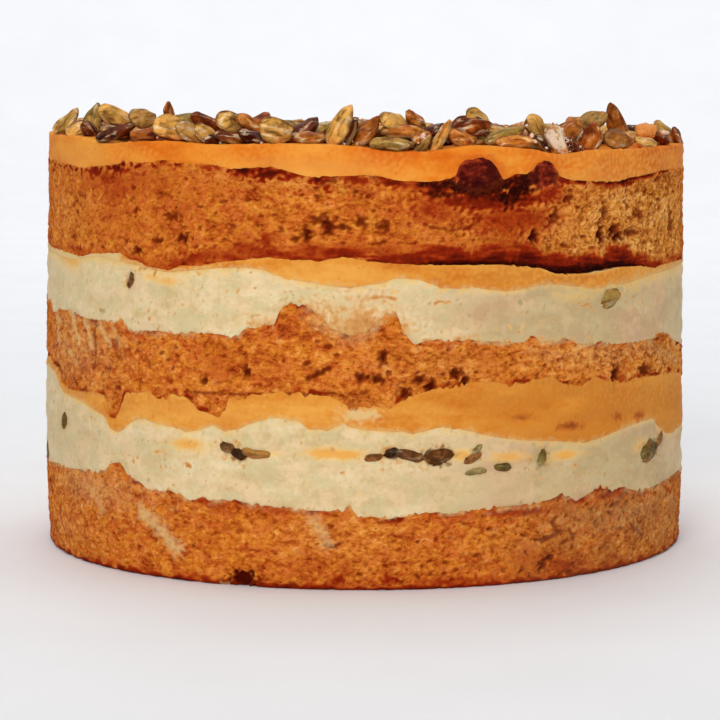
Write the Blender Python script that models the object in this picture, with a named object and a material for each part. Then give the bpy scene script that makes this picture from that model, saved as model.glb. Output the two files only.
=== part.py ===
"""Pumpkin cake: three round sponge layers with cream and orange filling
between them, an orange frosting and a heap of toasted pumpkin seeds.

Frame: metres, +Z up, origin at the centre of the flat base, the shown
front towards -Y.  Each layer runs through the cake as one closed body.
The borders between the layers are uneven: each is a level that leans a
little and rises and sinks in a few places round the rim.
"""
import math

import bmesh
import bpy
import mathutils

MM = 0.001

# ---- driving dimensions, millimetres ---------------------------------
CAKE_RADIUS = 75.5        # sponge layers, 151 mm across
CREAM_INSET = 0.4         # cream stands this far inside the sponge
FILLING_INSET = 0.6       # the thin orange layers stand a little deeper
FROSTING_INSET = 0.2
HEAP_RADIUS = 73.4        # outer edge of the seed heap
HEAP_THICKNESS = 4.6      # usual depth of the seeds
HEAP_EDGE = 2.9           # depth of the seeds along the edge
LUMP_HEIGHT = 3.2         # how far single seeds stand out of the heap
HEAP_SPACING = 5.4        # size of the facets on top of the heap
GAP = 0.3                 # clear space between two touching layers
SEGMENTS = 96             # points round the rim
INNER_RING = 0.62         # where the borders calm down, as part of the radius
CALM = 0.25               # share of the rim's unevenness left at that ring

# ---- the borders between the layers ----------------------------------
# level: mean height of the rim; lean: how much higher the left side is;
# swells: (angle, rise, half width), in degrees and millimetres, where the
# angle is 0 at the front and grows towards the right side.
BORDERS = {
    "bottom_sponge_top": dict(level=18.3, lean=1.5, swells=[
        (-63, 1.2, 8), (-47, 3.6, 4), (-29, -0.9, 6), (2, -1.8, 5),
        (34, 1.3, 4), (56, -0.8, 5), (104, 1.8, 8), (131, -1.4, 7),
        (158, 2.2, 5), (187, -1.1, 9), (214, 1.5, 5), (243, -1.6, 7),
        (265, 0.9, 6)]),
    "lower_cream_top": dict(level=33.4, lean=3.2, swells=[
        (-74, 3.0, 7), (-47, -3.6, 4), (-29, -1.4, 5), (-15, 1.6, 5),
        (37, -1.6, 7), (55, 1.2, 6), (68, -2.2, 5), (98, 1.4, 8),
        (127, -1.7, 6), (150, 2.0, 7), (176, -1.2, 6), (205, 1.8, 8),
        (231, -1.3, 5), (252, 1.2, 6)]),
    "lower_filling_top": dict(level=41.4, lean=0.0, swells=[
        (-76, 3.6, 6), (-62, -2.6, 7), (-47, -7.2, 3.4), (-25, -4.6, 4.5),
        (-1, -2.4, 4), (19, 3.2, 9), (34, 2.2, 5), (66, 0.6, 8),
        (95, 1.8, 7), (124, -2.6, 6), (146, 2.4, 8), (171, -2.0, 5),
        (198, 1.8, 7), (226, -2.4, 6), (250, 1.6, 6)]),
    "middle_sponge_top": dict(level=53.7, lean=2.3, swells=[
        (-36, -1.0, 6), (-12, 6.9, 4.2), (4.5, 5.4, 2.6), (29, 0.8, 4),
        (47, -1.0, 6), (74, -1.4, 6), (103, 2.6, 6), (129, -1.6, 7),
        (155, 3.4, 5), (183, -1.3, 8), (209, 2.2, 6), (236, -1.4, 7),
        (256, 1.4, 6)]),
    "upper_cream_top": dict(level=66.0, lean=1.6, swells=[
        (-23, 2.0, 8), (-3, -1.1, 5), (8, 0.9, 3), (21, -1.4, 6),
        (40, -1.8, 5), (66, 0.9, 8), (101, -1.2, 8), (128, 1.3, 7),
        (152, -1.5, 6), (180, 1.1, 8), (207, -1.4, 7), (238, 1.2, 7),
        (262, -0.8, 6)]),
    "top_sponge_bottom": dict(level=69.2, lean=1.5, swells=[
        (-36, -1.6, 4.5), (-14, 1.0, 7), (-3, 1.4, 5), (36, -1.7, 6),
        (62, -0.4, 6), (99, 0.8, 8), (126, -0.9, 7), (154, 1.1, 7),
        (181, -0.9, 7), (208, 0.9, 8), (237, -1.0, 7), (263, 0.6, 6)]),
    "top_sponge_top": dict(level=88.9, lean=1.2, swells=[
        (-60, -0.7, 6), (-45, 1.0, 4), (-16, 0.8, 5), (9, -1.5, 4),
        (18.5, 4.0, 2.6), (30.5, 4.2, 2.6), (45, -1.0, 7), (97, 0.9, 6),
        (118, -0.9, 7), (141, 2.4, 4), (166, -0.8, 7), (195, 1.0, 6),
        (222, -0.9, 7), (247, 1.6, 5)]),
    "frosting_top": dict(level=94.8, lean=1.2, swells=[
        (-48, -0.9, 6), (-24, -0.5, 6), (9, -1.2, 4.5), (34, -0.9, 5),
        (88, 0.5, 7), (112, -0.7, 6), (137, 0.6, 7), (163, -0.8, 6),
        (189, 0.5, 7), (217, -0.8, 7), (244, 0.6, 6)]),
}


def border_height(name, theta):
    """Height of a border at the rim, millimetres, theta in radians."""
    border = BORDERS[name]
    height = border["level"] - border["lean"] * math.sin(theta)
    for angle, rise, half_width in border["swells"]:
        away = (math.degrees(theta) - angle + 180.0) % 360.0 - 180.0
        height += rise * math.exp(-((away / half_width) ** 2))
    return height


def calm_height(name, theta):
    """Height further in, where only part of the unevenness is left."""
    border = BORDERS[name]
    rim = border_height(name, theta)
    return border["level"] + CALM * (rim - border["level"])


def ring_angles():
    return [2.0 * math.pi * k / SEGMENTS for k in range(SEGMENTS)]


def polar(radius, theta, height):
    """Angle 0 is the front, -Y; angles grow towards +X."""
    return (radius * math.sin(theta) * MM, -radius * math.cos(theta) * MM,
            height * MM)


def wall_wave(theta, height):
    """Small unevenness of the cut and smoothed side, never outwards."""
    wave = (math.sin(5 * theta + 0.11 * height)
            + math.sin(9 * theta - 0.23 * height + 1.7)
            + math.sin(16 * theta + 0.31 * height + 0.6))
    return -0.16 * (1.0 + wave / 3.0)


def skin(bm, rings):
    """Closed body from a row of rings; single points close both ends."""
    rows = []
    for ring in rings:
        rows.append([bm.verts.new(point) for point in ring])
    for low, high in zip(rows[:-1], rows[1:]):
        if len(low) == 1:
            for k in range(SEGMENTS):
                bm.faces.new((low[0], high[(k + 1) % SEGMENTS], high[k]))
        elif len(high) == 1:
            for k in range(SEGMENTS):
                bm.faces.new((low[k], low[(k + 1) % SEGMENTS], high[0]))
        else:
            for k in range(SEGMENTS):
                n = (k + 1) % SEGMENTS
                # one fixed diagonal, so that two layers that meet follow
                # each other exactly
                if low[k].co.xy.length < high[k].co.xy.length - 1e-6:
                    bm.faces.new((low[k], high[n], high[k]))
                    bm.faces.new((low[k], low[n], high[n]))
                else:
                    bm.faces.new((low[k], low[n], high[k]))
                    bm.faces.new((low[n], high[n], high[k]))
    bm.normal_update()


def finish(name, bm, colour, roughness):
    bmesh.ops.recalc_face_normals(bm, faces=bm.faces[:])
    mesh = bpy.data.meshes.new(name)
    bm.to_mesh(mesh)
    bm.free()
    mesh.shade_smooth()
    mesh.set_sharp_from_angle(angle=math.radians(42))
    part = bpy.data.objects.new(name, mesh)
    bpy.context.scene.collection.objects.link(part)
    material = bpy.data.materials.new(name + "_finish")
    material.use_nodes = True
    shader = material.node_tree.nodes["Principled BSDF"]
    shader.inputs["Base Color"].default_value = (*colour, 1.0)
    shader.inputs["Roughness"].default_value = roughness
    shader.inputs["Metallic"].default_value = 0.0
    mesh.materials.append(material)
    return part


def layer(name, below, above, inset, hollow, bands, colour, roughness,
          extra_top_ring=None):
    """One layer through the cake, between two borders.

    below None stands on the flat base; hollow is how far the side draws
    in half way up; extra_top_ring adds a ring to the top face."""
    angles = ring_angles()
    radius = CAKE_RADIUS - inset
    inner = CAKE_RADIUS * INNER_RING
    half = GAP / 2.0
    rings = []
    if below is None:
        rings.append([(0.0, 0.0, 0.0)])
        rings.append([polar(radius, a, 0.0) for a in angles])
    else:
        rings.append([polar(0.0, 0.0, BORDERS[below]["level"] + half)])
        rings.append([polar(inner, a, calm_height(below, a) + half)
                      for a in angles])
        rings.append([polar(radius, a, border_height(below, a) + half)
                      for a in angles])
    for band in range(1, bands):
        part = band / bands
        ring = []
        for a in angles:
            low = 0.0 if below is None else border_height(below, a) + half
            high = border_height(above, a) - half
            height = low + part * (high - low)
            draw = hollow * math.sin(math.pi * part)
            ring.append(polar(radius - draw + wall_wave(a, height), a,
                              height))
        rings.append(ring)
    rings.append([polar(radius, a, border_height(above, a) - half)
                  for a in angles])
    if extra_top_ring:
        share = (extra_top_ring - inner) / (radius - inner)
        rings.append([polar(extra_top_ring, a,
                            calm_height(above, a) - half + share
                            * (border_height(above, a)
                               - calm_height(above, a)))
                      for a in angles])
    rings.append([polar(inner, a, calm_height(above, a) - half)
                  for a in angles])
    rings.append([polar(0.0, 0.0, BORDERS[above]["level"] - half)])
    bm = bmesh.new()
    skin(bm, rings)
    return finish(name, bm, colour, roughness)


def heap_depth(x, y):
    """Depth of the seed heap: a low bed with single seeds standing out."""
    radius = math.hypot(x, y)
    bed = HEAP_THICKNESS
    edge = max(0.0, (radius / HEAP_RADIUS - 0.80) / 0.20)
    bed += (HEAP_EDGE - HEAP_THICKNESS) * edge ** 2
    lumps = (math.sin(0.47 * x + 0.25 * y) * math.sin(0.42 * y - 0.21 * x)
             + 0.7 * math.sin(0.63 * x - 0.34 * y + 1.1)
             * math.sin(0.58 * y + 0.37 * x + 0.4))
    return max(1.2, bed + LUMP_HEIGHT * 0.7 * lumps)


def frosting_under(x, y):
    """Height of the frosting under the seeds."""
    radius = math.hypot(x, y)
    theta = math.atan2(x, -y)
    inner = CAKE_RADIUS * INNER_RING
    level = BORDERS["frosting_top"]["level"]
    calm = calm_height("frosting_top", theta)
    if radius <= inner:
        return level + (calm - level) * radius / inner
    share = (radius - inner) / (CAKE_RADIUS - FROSTING_INSET - inner)
    return calm + share * (border_height("frosting_top", theta) - calm)


def seed_heap(name, colour, roughness):
    """The heap of seeds as one body out to its uneven outline."""
    angles = ring_angles()
    inner = CAKE_RADIUS * INNER_RING
    half = GAP / 2.0
    bm = bmesh.new()

    def ring(radius, rise):
        verts = []
        for a in angles:
            x, y, _ = polar(radius, a, 0.0)
            height = frosting_under(x / MM, y / MM) + half + rise(x / MM,
                                                                  y / MM)
            verts.append(bm.verts.new((x, y, height * MM)))
        return verts

    # underside, following the frosting
    centre = bm.verts.new((0.0, 0.0, (BORDERS["frosting_top"]["level"]
                                      + half) * MM))
    low_inner = ring(inner, lambda x, y: 0.0)
    low_outer = ring(HEAP_RADIUS, lambda x, y: 0.0)
    for k in range(SEGMENTS):
        n = (k + 1) % SEGMENTS
        bm.faces.new((centre, low_inner[k], low_inner[n]))
        bm.faces.new((low_inner[k], low_outer[n], low_inner[n]))
        bm.faces.new((low_inner[k], low_outer[k], low_outer[n]))
    # short outer side
    rim = ring(HEAP_RADIUS, lambda x, y: 0.75 * heap_depth(x, y))
    for k in range(SEGMENTS):
        n = (k + 1) % SEGMENTS
        bm.faces.new((low_outer[k], rim[k], rim[n], low_outer[n]))
    # top: rings of evenly spaced points, joined by a flat triangulation
    flat = [v.co.xy.copy() for v in rim]
    top = list(rim)
    radius = HEAP_RADIUS - HEAP_SPACING * 0.9
    turn = 0.0
    while radius > HEAP_SPACING * 0.5:
        count = max(6, round(2.0 * math.pi * radius / HEAP_SPACING))
        for k in range(count):
            a = turn + 2.0 * math.pi * k / count
            x, y, _ = polar(radius, a, 0.0)
            depth = heap_depth(x / MM, y / MM)
            height = frosting_under(x / MM, y / MM) + half + depth
            top.append(bm.verts.new((x, y, height * MM)))
            flat.append(top[-1].co.xy.copy())
        turn += 0.37
        radius -= HEAP_SPACING * 0.9
    edges = [(k, (k + 1) % SEGMENTS) for k in range(SEGMENTS)]
    result = mathutils.geometry.delaunay_2d_cdt(flat, edges, [], 1, 1e-7)
    origin = [ids[0] for ids in result[3]]
    for face in result[2]:
        bm.faces.new([top[origin[v]] for v in face])
    return finish(name, bm, colour, roughness)


def main():
    for item in list(bpy.data.objects):
        bpy.data.objects.remove(item, do_unlink=True)

    sponge = (0.46, 0.17, 0.035)
    cream = (0.72, 0.64, 0.44)
    orange = (0.76, 0.33, 0.055)
    seed = (0.17, 0.11, 0.022)

    layer("cake_bottom", None, "bottom_sponge_top", 0.0, 0.0, 2,
          sponge, 0.85)
    layer("cream_lower", "bottom_sponge_top", "lower_cream_top",
          CREAM_INSET, 0.3, 2, cream, 0.5)
    layer("filling_lower", "lower_cream_top", "lower_filling_top",
          FILLING_INSET, 0.0, 1, orange, 0.45)
    layer("cake_middle", "lower_filling_top", "middle_sponge_top",
          0.0, 0.0, 2, sponge, 0.85)
    layer("cream_upper", "middle_sponge_top", "upper_cream_top",
          CREAM_INSET, 0.0, 1, cream, 0.5)
    layer("filling_upper", "upper_cream_top", "top_sponge_bottom",
          FILLING_INSET, 0.0, 1, orange, 0.45)
    layer("cake_top", "top_sponge_bottom", "top_sponge_top",
          0.0, 0.0, 2, sponge, 0.85)
    layer("frosting", "top_sponge_top", "frosting_top",
          FROSTING_INSET, 0.0, 1, orange, 0.4, extra_top_ring=HEAP_RADIUS)
    seed_heap("seed_heap", seed, 0.35)


main()
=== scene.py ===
import math

import bmesh
import bpy
import numpy as np
from mathutils import Matrix, Quaternion, Vector
from mathutils.bvhtree import BVHTree


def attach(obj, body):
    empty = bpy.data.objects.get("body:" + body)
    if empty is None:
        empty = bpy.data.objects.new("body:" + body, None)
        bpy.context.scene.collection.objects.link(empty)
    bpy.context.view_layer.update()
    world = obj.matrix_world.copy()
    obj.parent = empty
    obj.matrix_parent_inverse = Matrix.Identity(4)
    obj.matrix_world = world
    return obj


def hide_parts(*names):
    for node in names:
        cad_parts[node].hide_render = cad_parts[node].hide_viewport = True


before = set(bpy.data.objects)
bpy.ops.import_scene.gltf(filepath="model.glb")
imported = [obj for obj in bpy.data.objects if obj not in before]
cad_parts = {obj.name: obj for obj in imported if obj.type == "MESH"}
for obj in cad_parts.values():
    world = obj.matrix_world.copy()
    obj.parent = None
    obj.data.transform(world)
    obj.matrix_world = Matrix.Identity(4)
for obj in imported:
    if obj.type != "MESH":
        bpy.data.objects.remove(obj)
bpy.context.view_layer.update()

MM = 0.001

# ======================================================================
# Sizes, millimetres
# ======================================================================
WALL = 75.5               # radius of the moulded side
TAPER = 0.5               # the base is this much wider than the top
FROSTING = 94.8           # mean height of the frosting's edge
COLUMNS = 1200            # points round the side in the fine meshes
ROW = 0.40                # height of one row in the fine meshes

# ======================================================================
# The camera, which also turns picture points into places on the cake
# ======================================================================
LENS_PX = 2682.0
EYE = np.array([-0.94, -641.6, 110.1])
PITCH = math.radians(6.09)


def sight(px, py):
    """Direction of the line of sight through a point of the frame."""
    c, s = math.cos(PITCH), math.sin(PITCH)
    x = (px - 360.0) / LENS_PX
    u = (360.0 - py) / LENS_PX
    return np.array([x, c + u * s, -s + u * c])


def on_ring(px, py, radius=WALL):
    """Nearest point of an upright cylinder seen at a frame point."""
    d = sight(px, py)
    a = d[0] ** 2 + d[1] ** 2
    b = 2.0 * (EYE[0] * d[0] + EYE[1] * d[1])
    c = EYE[0] ** 2 + EYE[1] ** 2 - radius ** 2
    disc = b * b - 4.0 * a * c
    t = -b / (2.0 * a) if disc < 0.0 else (-b - math.sqrt(disc)) / (2.0 * a)
    return EYE + t * d


# the side bulges and the cake leans a little, by height
PROFILE_Z = [0.0, 3.0, 8.0, 20.0, 32.0, 44.0, 56.0, 68.0, 80.0, 92.0, 98.0]
PROFILE_R = [-0.1, -0.1, 0.25, 0.5, 0.75, 0.5, 0.45, 0.2, -0.3, 0.0, 0.0]
LEAN_Z = [0.0, 40.0, 56.0, 68.0, 80.0, 98.0]
LEAN_X = [0.1, 0.0, 0.25, 0.3, 0.5, 0.5]


def lean(z):
    return np.interp(z, LEAN_Z, LEAN_X)


def on_wall(px, py, radius=WALL):
    """(angle, height) of that point; angle 0 is the front, + to the right."""
    p = on_ring(px, py, radius)
    return math.atan2(p[0] - float(lean(p[2])), -p[1]), float(p[2])


def wall_radius(z):
    return (WALL + TAPER * (0.5 - np.asarray(z) / FROSTING)
            + np.interp(z, PROFILE_Z, PROFILE_R))


# ======================================================================
# Smooth noise on the unrolled side
# ======================================================================
NU, NV = 1900, 408
DU = 2.0 * math.pi * WALL / NU
DV = 0.25
Z0 = -2.0
THETA = np.arange(NU) * (2.0 * math.pi / NU)
ZROW = Z0 + np.arange(NV) * DV


def band(seed, lu, lv, width=0.45, low=False):
    """Unit noise with features of about lu by lv millimetres."""
    rng = np.random.default_rng(seed)
    spectrum = np.fft.rfft2(rng.standard_normal((NU, NV)))
    fu = np.fft.fftfreq(NU, d=DU)[:, None] * lu
    fv = np.fft.rfftfreq(NV, d=DV)[None, :] * lv
    r = np.sqrt(fu * fu + fv * fv)
    gain = np.exp(-r * r) if low else np.exp(-((r - 1.0) / width) ** 2)
    field = np.fft.irfft2(spectrum * gain, s=(NU, NV))
    return (field - field.mean()) / field.std()


def line_noise(seed, length, width=0.5, low=False, n=2880):
    """Unit noise round the rim with waves of about that many mm."""
    rng = np.random.default_rng(seed)
    spectrum = np.fft.rfft(rng.standard_normal(n))
    f = np.fft.rfftfreq(n, d=2.0 * math.pi * WALL / n) * length
    gain = np.exp(-f * f) if low else np.exp(-((f - 1.0) / width) ** 2)
    gain[0] = 0.0
    wave = np.fft.irfft(spectrum * gain, n)
    return wave / wave.std()


def smooth(x, lo, hi):
    t = np.clip((x - lo) / (hi - lo), 0.0, 1.0)
    return t * t * (3.0 - 2.0 * t)


# ======================================================================
# Borders between the layers, drawn as frame points along the front;
# the far side carries on in the same manner
# ======================================================================
BORDER_POINTS = {
    "H": [(50, 461), (60, 463), (70, 468), (80, 469), (100, 472),
          (107, 469), (113, 463), (120, 462), (125, 467), (128, 474),
          (135, 478), (140, 481), (145, 487), (150, 490), (170, 491),
          (180, 493), (190, 500), (205, 497), (210, 500), (235, 500),
          (250, 504), (270, 506), (290, 508), (305, 510), (330, 511),
          (350, 507), (356, 513), (360, 518), (370, 516), (385, 519),
          (400, 517), (418, 513), (437, 512), (450, 514), (460, 511),
          (480, 509), (500, 507), (530, 504), (548, 499), (560, 493),
          (570, 498), (576, 500), (590, 492), (597, 486), (610, 490),
          (622, 486), (630, 490), (640, 490), (650, 487), (665, 481),
          (675, 472), (680, 467)],
    "G": [(50, 365), (57, 372), (65, 392), (75, 398), (85, 402),
          (95, 409), (105, 415), (108, 420), (112, 428), (118, 432),
          (125, 430), (130, 424), (137, 419), (145, 418), (155, 423),
          (175, 427), (188, 432), (200, 430), (214, 425), (225, 431),
          (240, 429), (250, 424), (270, 418), (280, 418), (300, 421),
          (308, 429), (330, 430), (343, 423), (350, 427), (365, 430),
          (400, 431), (412, 434), (427, 430), (440, 427), (460, 429),
          (475, 432), (495, 437), (520, 440), (560, 441), (582, 442),
          (595, 439), (605, 435), (620, 428), (640, 421), (650, 418),
          (656, 425), (663, 433), (670, 433), (680, 420)],
    "F": [(48, 350), (52, 358), (57, 368), (62, 375), (67, 387),
          (80, 391), (100, 392), (107, 399), (109, 409), (112, 417),
          (118, 418), (121, 411), (123, 402), (126, 395), (130, 392), (140, 393), (150, 390), (160, 400),
          (175, 394), (188, 398), (195, 404), (200, 410), (210, 413),
          (220, 418), (227, 409), (230, 397), (245, 399), (250, 395),
          (280, 392), (300, 394), (330, 396), (340, 401), (350, 409),
          (360, 409), (370, 405), (380, 408), (390, 408.5), (400, 402),
          (410, 397), (420, 393), (440, 388), (460, 386), (470, 382),
          (490, 381), (510, 385), (520, 383), (535, 379), (550, 376),
          (560, 383), (580, 386), (592, 376), (605, 381), (625, 382),
          (632, 378), (650, 376), (670, 372), (680, 374)],
    "E": [(50, 300), (55, 312), (60, 309), (70, 311), (80, 316),
          (90, 319), (118, 322), (122, 317), (128, 331), (145, 331),
          (160, 331), (175, 334), (190, 332), (220, 334), (232, 337),
          (240, 335), (246, 327), (255, 328), (265, 325), (275, 325),
          (280, 310), (285, 305), (290, 304), (300, 305), (310, 307),
          (316, 315), (325, 320), (330, 327), (340, 332), (350, 335),
          (360, 333), (370, 330), (378, 325), (382, 318), (388, 312),
          (393, 312), (398, 317), (401, 324), (403, 334), (410, 340),
          (415, 345), (425, 341), (440, 339), (450, 342), (462, 339),
          (480, 341), (510, 342), (520, 343), (530, 335), (540, 342),
          (555, 341), (562, 338), (578, 344), (590, 344), (600, 342),
          (610, 344), (630, 342), (650, 339), (656, 333), (665, 333),
          (672, 340), (680, 345)],
    "D": [(48, 250), (70, 259), (100, 257), (140, 266), (165, 272),
          (200, 270), (220, 268), (250, 268), (265, 270), (275, 275),
          (290, 280), (300, 281), (320, 284), (340, 286), (350, 287),
          (370, 285), (385, 283), (390, 280), (400, 278), (420, 280),
          (430, 284), (440, 288), (460, 289), (470, 287), (490, 290),
          (505, 291.5), (520, 290), (530, 287), (545, 284), (560, 285),
          (580, 287), (590, 289), (600, 288), (610, 283), (620, 285),
          (630, 282), (640, 278), (650, 275), (660, 272), (670, 269),
          (680, 262)],
    "C": [(50, 247), (62, 251), (80, 257), (90, 253.5), (120, 253),
          (127, 259), (137, 261), (148, 267), (155, 268), (170, 270.5),
          (180, 265.5), (200, 266), (220, 262), (240, 260.5),
          (255, 258.5), (270, 257.5), (290, 260), (310, 260), (318, 262),
          (330, 259), (345, 257), (360, 260), (380, 262.5), (400, 264),
          (420, 265), (480, 265), (500, 264.5), (520, 266.5), (540, 268),
          (550, 272), (557, 274), (575, 274), (590, 273), (600, 271),
          (610, 269), (620, 267), (640, 266), (655, 268), (660, 265),
          (670, 262), (680, 259)],
    "B": [(50, 159), (60, 163), (70, 165), (80, 168), (90, 166.5),
          (110, 165), (118, 163.5), (121, 159), (130, 162), (140, 163),
          (150, 162), (160, 160), (168, 161), (175, 163.5), (190, 163),
          (212, 165), (230, 169), (250, 168), (270, 167), (280, 169),
          (290, 172), (300, 175), (310, 177), (345, 176), (370, 175),
          (385, 177.5), (400, 181), (430, 182), (440, 180.5),
          (450, 178.5), (456, 175), (459, 166), (465, 160.5), (475, 158),
          (485, 158), (492, 162), (497, 168), (500, 175), (503, 180),
          (510, 177), (515, 174), (527, 174), (532, 170), (537, 164),
          (545, 160), (552, 163), (556, 170), (560, 176), (565, 178),
          (570, 180), (590, 181), (610, 182), (620, 181), (630, 177.5),
          (640, 176), (650, 174), (661, 170.5), (680, 168)],
    "A": [(48, 135), (60, 135), (75, 136), (90, 140), (98, 142.5),
          (105, 143.6), (115, 143), (125, 141.7), (160, 140.7),
          (175, 141.4), (190, 143), (205, 144.3), (250, 144),
          (300, 143.5), (330, 145), (360, 147), (375, 150), (395, 152),
          (415, 152), (440, 151), (460, 147), (480, 146.5), (500, 147),
          (520, 148.5), (540, 150), (545, 152), (557, 154.5), (570, 154),
          (580, 152.5), (590, 150.5), (600, 149.5), (620, 149),
          (640, 148.5), (650, 147.5), (670, 146), (681, 144)],
}
# how much the unseen far side wanders, and the raggedness of each border
BORDER_WANDER = {"H": 1.5, "G": 1.7, "F": 2.1, "E": 2.0, "D": 1.0,
                 "C": 1.0, "B": 1.0, "A": 0.7}
BORDER_RAGGED = {"H": 0.20, "G": 0.07, "F": 0.18, "E": 0.20, "D": 0.07,
                 "C": 0.07, "B": 0.07, "A": 0.05}
NB = 2880
RIM = np.arange(NB) * (2.0 * math.pi / NB)


def border_curve(name, number):
    pts = sorted(on_wall(x, y) for x, y in BORDER_POINTS[name])
    angles = np.array([p[0] for p in pts])
    heights = np.array([p[1] for p in pts])
    turned = (RIM + math.pi) % (2.0 * math.pi) - math.pi
    right, left = angles[-1], angles[0]
    curve = np.interp(turned, angles, heights)
    # the far side: from the right end round the back to the left end
    span = 2.0 * math.pi - (right - left)
    t = ((turned - right) % (2.0 * math.pi)) / span
    back = (turned > right) | (turned < left)
    ends = heights[-1] + (heights[0] - heights[-1]) * smooth(t, 0.0, 1.0)
    wave = (0.75 * line_noise(100 + number, 34.0)
            + 0.36 * line_noise(200 + number, 15.0)
            + 0.13 * line_noise(300 + number, 7.0))
    window = np.clip(np.sin(math.pi * np.clip(t, 0.0, 1.0)), 0.0, 1.0) ** 0.4
    curve = np.where(back, ends + BORDER_WANDER[name] * wave * window, curve)
    spectrum = np.fft.rfft(curve)
    f = np.fft.rfftfreq(NB, d=2.0 * math.pi * WALL / NB)
    curve = np.fft.irfft(spectrum * np.exp(-(f * 0.85) ** 2), NB)
    ragged = (0.8 * line_noise(400 + number, 3.2)
              + 0.60 * line_noise(500 + number, 1.5))
    ragged *= np.clip(0.75 + 0.55 * line_noise(600 + number, 13.0), 0.1, 1.5)
    return curve + BORDER_RAGGED[name] * ragged


ORDER = ["H", "G", "F", "E", "D", "C", "B", "A"]
MIN_DEPTH = {"G": 5.0, "F": 0.9, "E": 4.0, "D": 4.0, "C": 0.35, "B": 8.0,
             "A": 1.2}
BORDER = {}
for number, name in enumerate(ORDER):
    BORDER[name] = border_curve(name, number)
    if number:
        below = BORDER[ORDER[number - 1]]
        BORDER[name] = np.maximum(BORDER[name], below + MIN_DEPTH[name])


def border_at(name, theta):
    t = np.mod(np.asarray(theta), 2.0 * math.pi) / (2.0 * math.pi) * NB
    i = np.floor(t).astype(int)
    f = t - i
    curve = BORDER[name]
    return curve[i % NB] * (1.0 - f) + curve[(i + 1) % NB] * f


# border heights on the raster's columns
EDGE = {name: border_at(name, THETA)[:, None] for name in ORDER}
ZZ = np.broadcast_to(ZROW[None, :], (NU, NV))

# ======================================================================
# Rasters of relief and of colour masks over the side
# ======================================================================
relief = np.zeros((NU, NV))       # outward, millimetres
# painted shade: colour darkened in the hollows, pores and cracks
pit_shade = np.zeros((NU, NV))          # dark hollows
red = np.zeros((NU, NV))          # redder, browner crust
# deep brown burnt places, and painted shadow: in the recess above the ledge, in deep pits, round the
# sunk seeds and at the base
dark_and_shade = np.zeros((NU, NV))         # deep brown places
# pale tan crumb and paler places, and a painted highlight along the ledge of the thin filling
pale_and_highlight = np.zeros((NU, NV))        # pale tan crumb
cream = np.zeros((NU, NV))        # cream smeared over something else
orange = np.zeros((NU, NV))       # orange filling smeared over something
brown = np.zeros((NU, NV))        # brown smudges and specks
green = np.zeros((NU, NV))        # olive bits of seed
maroon = np.zeros((NU, NV))       # smooth dark red lumps
tan = np.zeros((NU, NV))          # duller, browner cream and filling

ragged_noise = band(11, 1.6, 1.4)
rough_noise = band(12, 4.0, 3.0)


def blot(raster, theta, z, hu, hv, value, turn=0.0, ragged=0.25, hard=2.0,
         add=False):
    """An uneven ellipse at (theta, z), half sizes hu by hv mm."""
    size = max(hu, hv) * (1.0 + 0.55 / hard + 1.5 * ragged) + 0.8
    iu = theta / (2.0 * math.pi) * NU
    iv = (z - Z0) / DV
    nu, nv = int(size / DU) + 2, int(size / DV) + 2
    us = np.arange(int(iu) - nu, int(iu) + nu + 1)
    vs = np.arange(max(0, int(iv) - nv), min(NV, int(iv) + nv + 1))
    if len(vs) == 0:
        return
    x = (us - iu)[:, None] * DU
    y = (vs - iv)[None, :] * DV
    c, s = math.cos(math.radians(turn)), math.sin(math.radians(turn))
    d = np.sqrt(((x * c + y * s) / hu) ** 2 + ((y * c - x * s) / hv) ** 2)
    us = us % NU
    d = d * (1.0 + np.clip(ragged * ragged_noise[np.ix_(us, vs)]
                           + 0.5 * ragged * rough_noise[np.ix_(us, vs)],
                           -0.38, 0.8))
    shape = value * np.clip((1.0 - d) * hard + 0.5, 0.0, 1.0)
    old = raster[np.ix_(us, vs)]
    if add:
        raster[np.ix_(us, vs)] = old + shape
    elif value >= 0.0:
        raster[np.ix_(us, vs)] = np.maximum(old, shape)
    else:
        raster[np.ix_(us, vs)] = np.minimum(old, shape)


def patch(raster, x0, y0, x1, y1, value, **more):
    """An uneven ellipse given by the frame points of its box."""
    xm, ym = (x0 + x1) / 2.0, (y0 + y1) / 2.0
    theta, z = on_wall(xm, ym)
    ta, _ = on_wall(x0, ym)
    tb, _ = on_wall(x1, ym)
    _, za = on_wall(xm, y0)
    _, zb = on_wall(xm, y1)
    blot(raster, theta, z, max(0.2, abs(tb - ta) / 2.0 * WALL),
         max(0.2, abs(za - zb) / 2.0), value, **more)


def stroke(raster, points, width, value, **more):
    """A streak along frame points, width in mm."""
    places = [on_wall(x, y) for x, y in points]
    for (ta, za), (tb, zb) in zip(places[:-1], places[1:]):
        length = math.hypot((tb - ta) * WALL, zb - za)
        steps = max(1, int(length / (0.4 * width)))
        for k in range(steps + 1):
            f = k / steps
            blot(raster, ta + f * (tb - ta), za + f * (zb - za),
                 width / 2.0, width / 2.0, value, **more)


# ---- which layer a place of the side belongs to ----------------------
is_bottom = ZZ < EDGE["H"]
is_cream1 = (ZZ >= EDGE["H"]) & (ZZ < EDGE["G"])
is_fill1 = (ZZ >= EDGE["G"]) & (ZZ < EDGE["F"])
is_middle = (ZZ >= EDGE["F"]) & (ZZ < EDGE["E"])
is_cream2 = (ZZ >= EDGE["E"]) & (ZZ < EDGE["D"])
is_fill2 = (ZZ >= EDGE["D"]) & (ZZ < EDGE["C"])
is_top = (ZZ >= EDGE["C"]) & (ZZ < EDGE["B"])
is_frost = ZZ >= EDGE["B"]
is_sponge = is_bottom | is_middle | is_top

# ---- sponge crumb ----------------------------------------------------
front = (THETA + math.pi) % (2.0 * math.pi) - math.pi
frontdeg = np.degrees(front)[:, None]
density = 1.0 + 0.28 * band(21, 22.0, 12.0, low=True)
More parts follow.
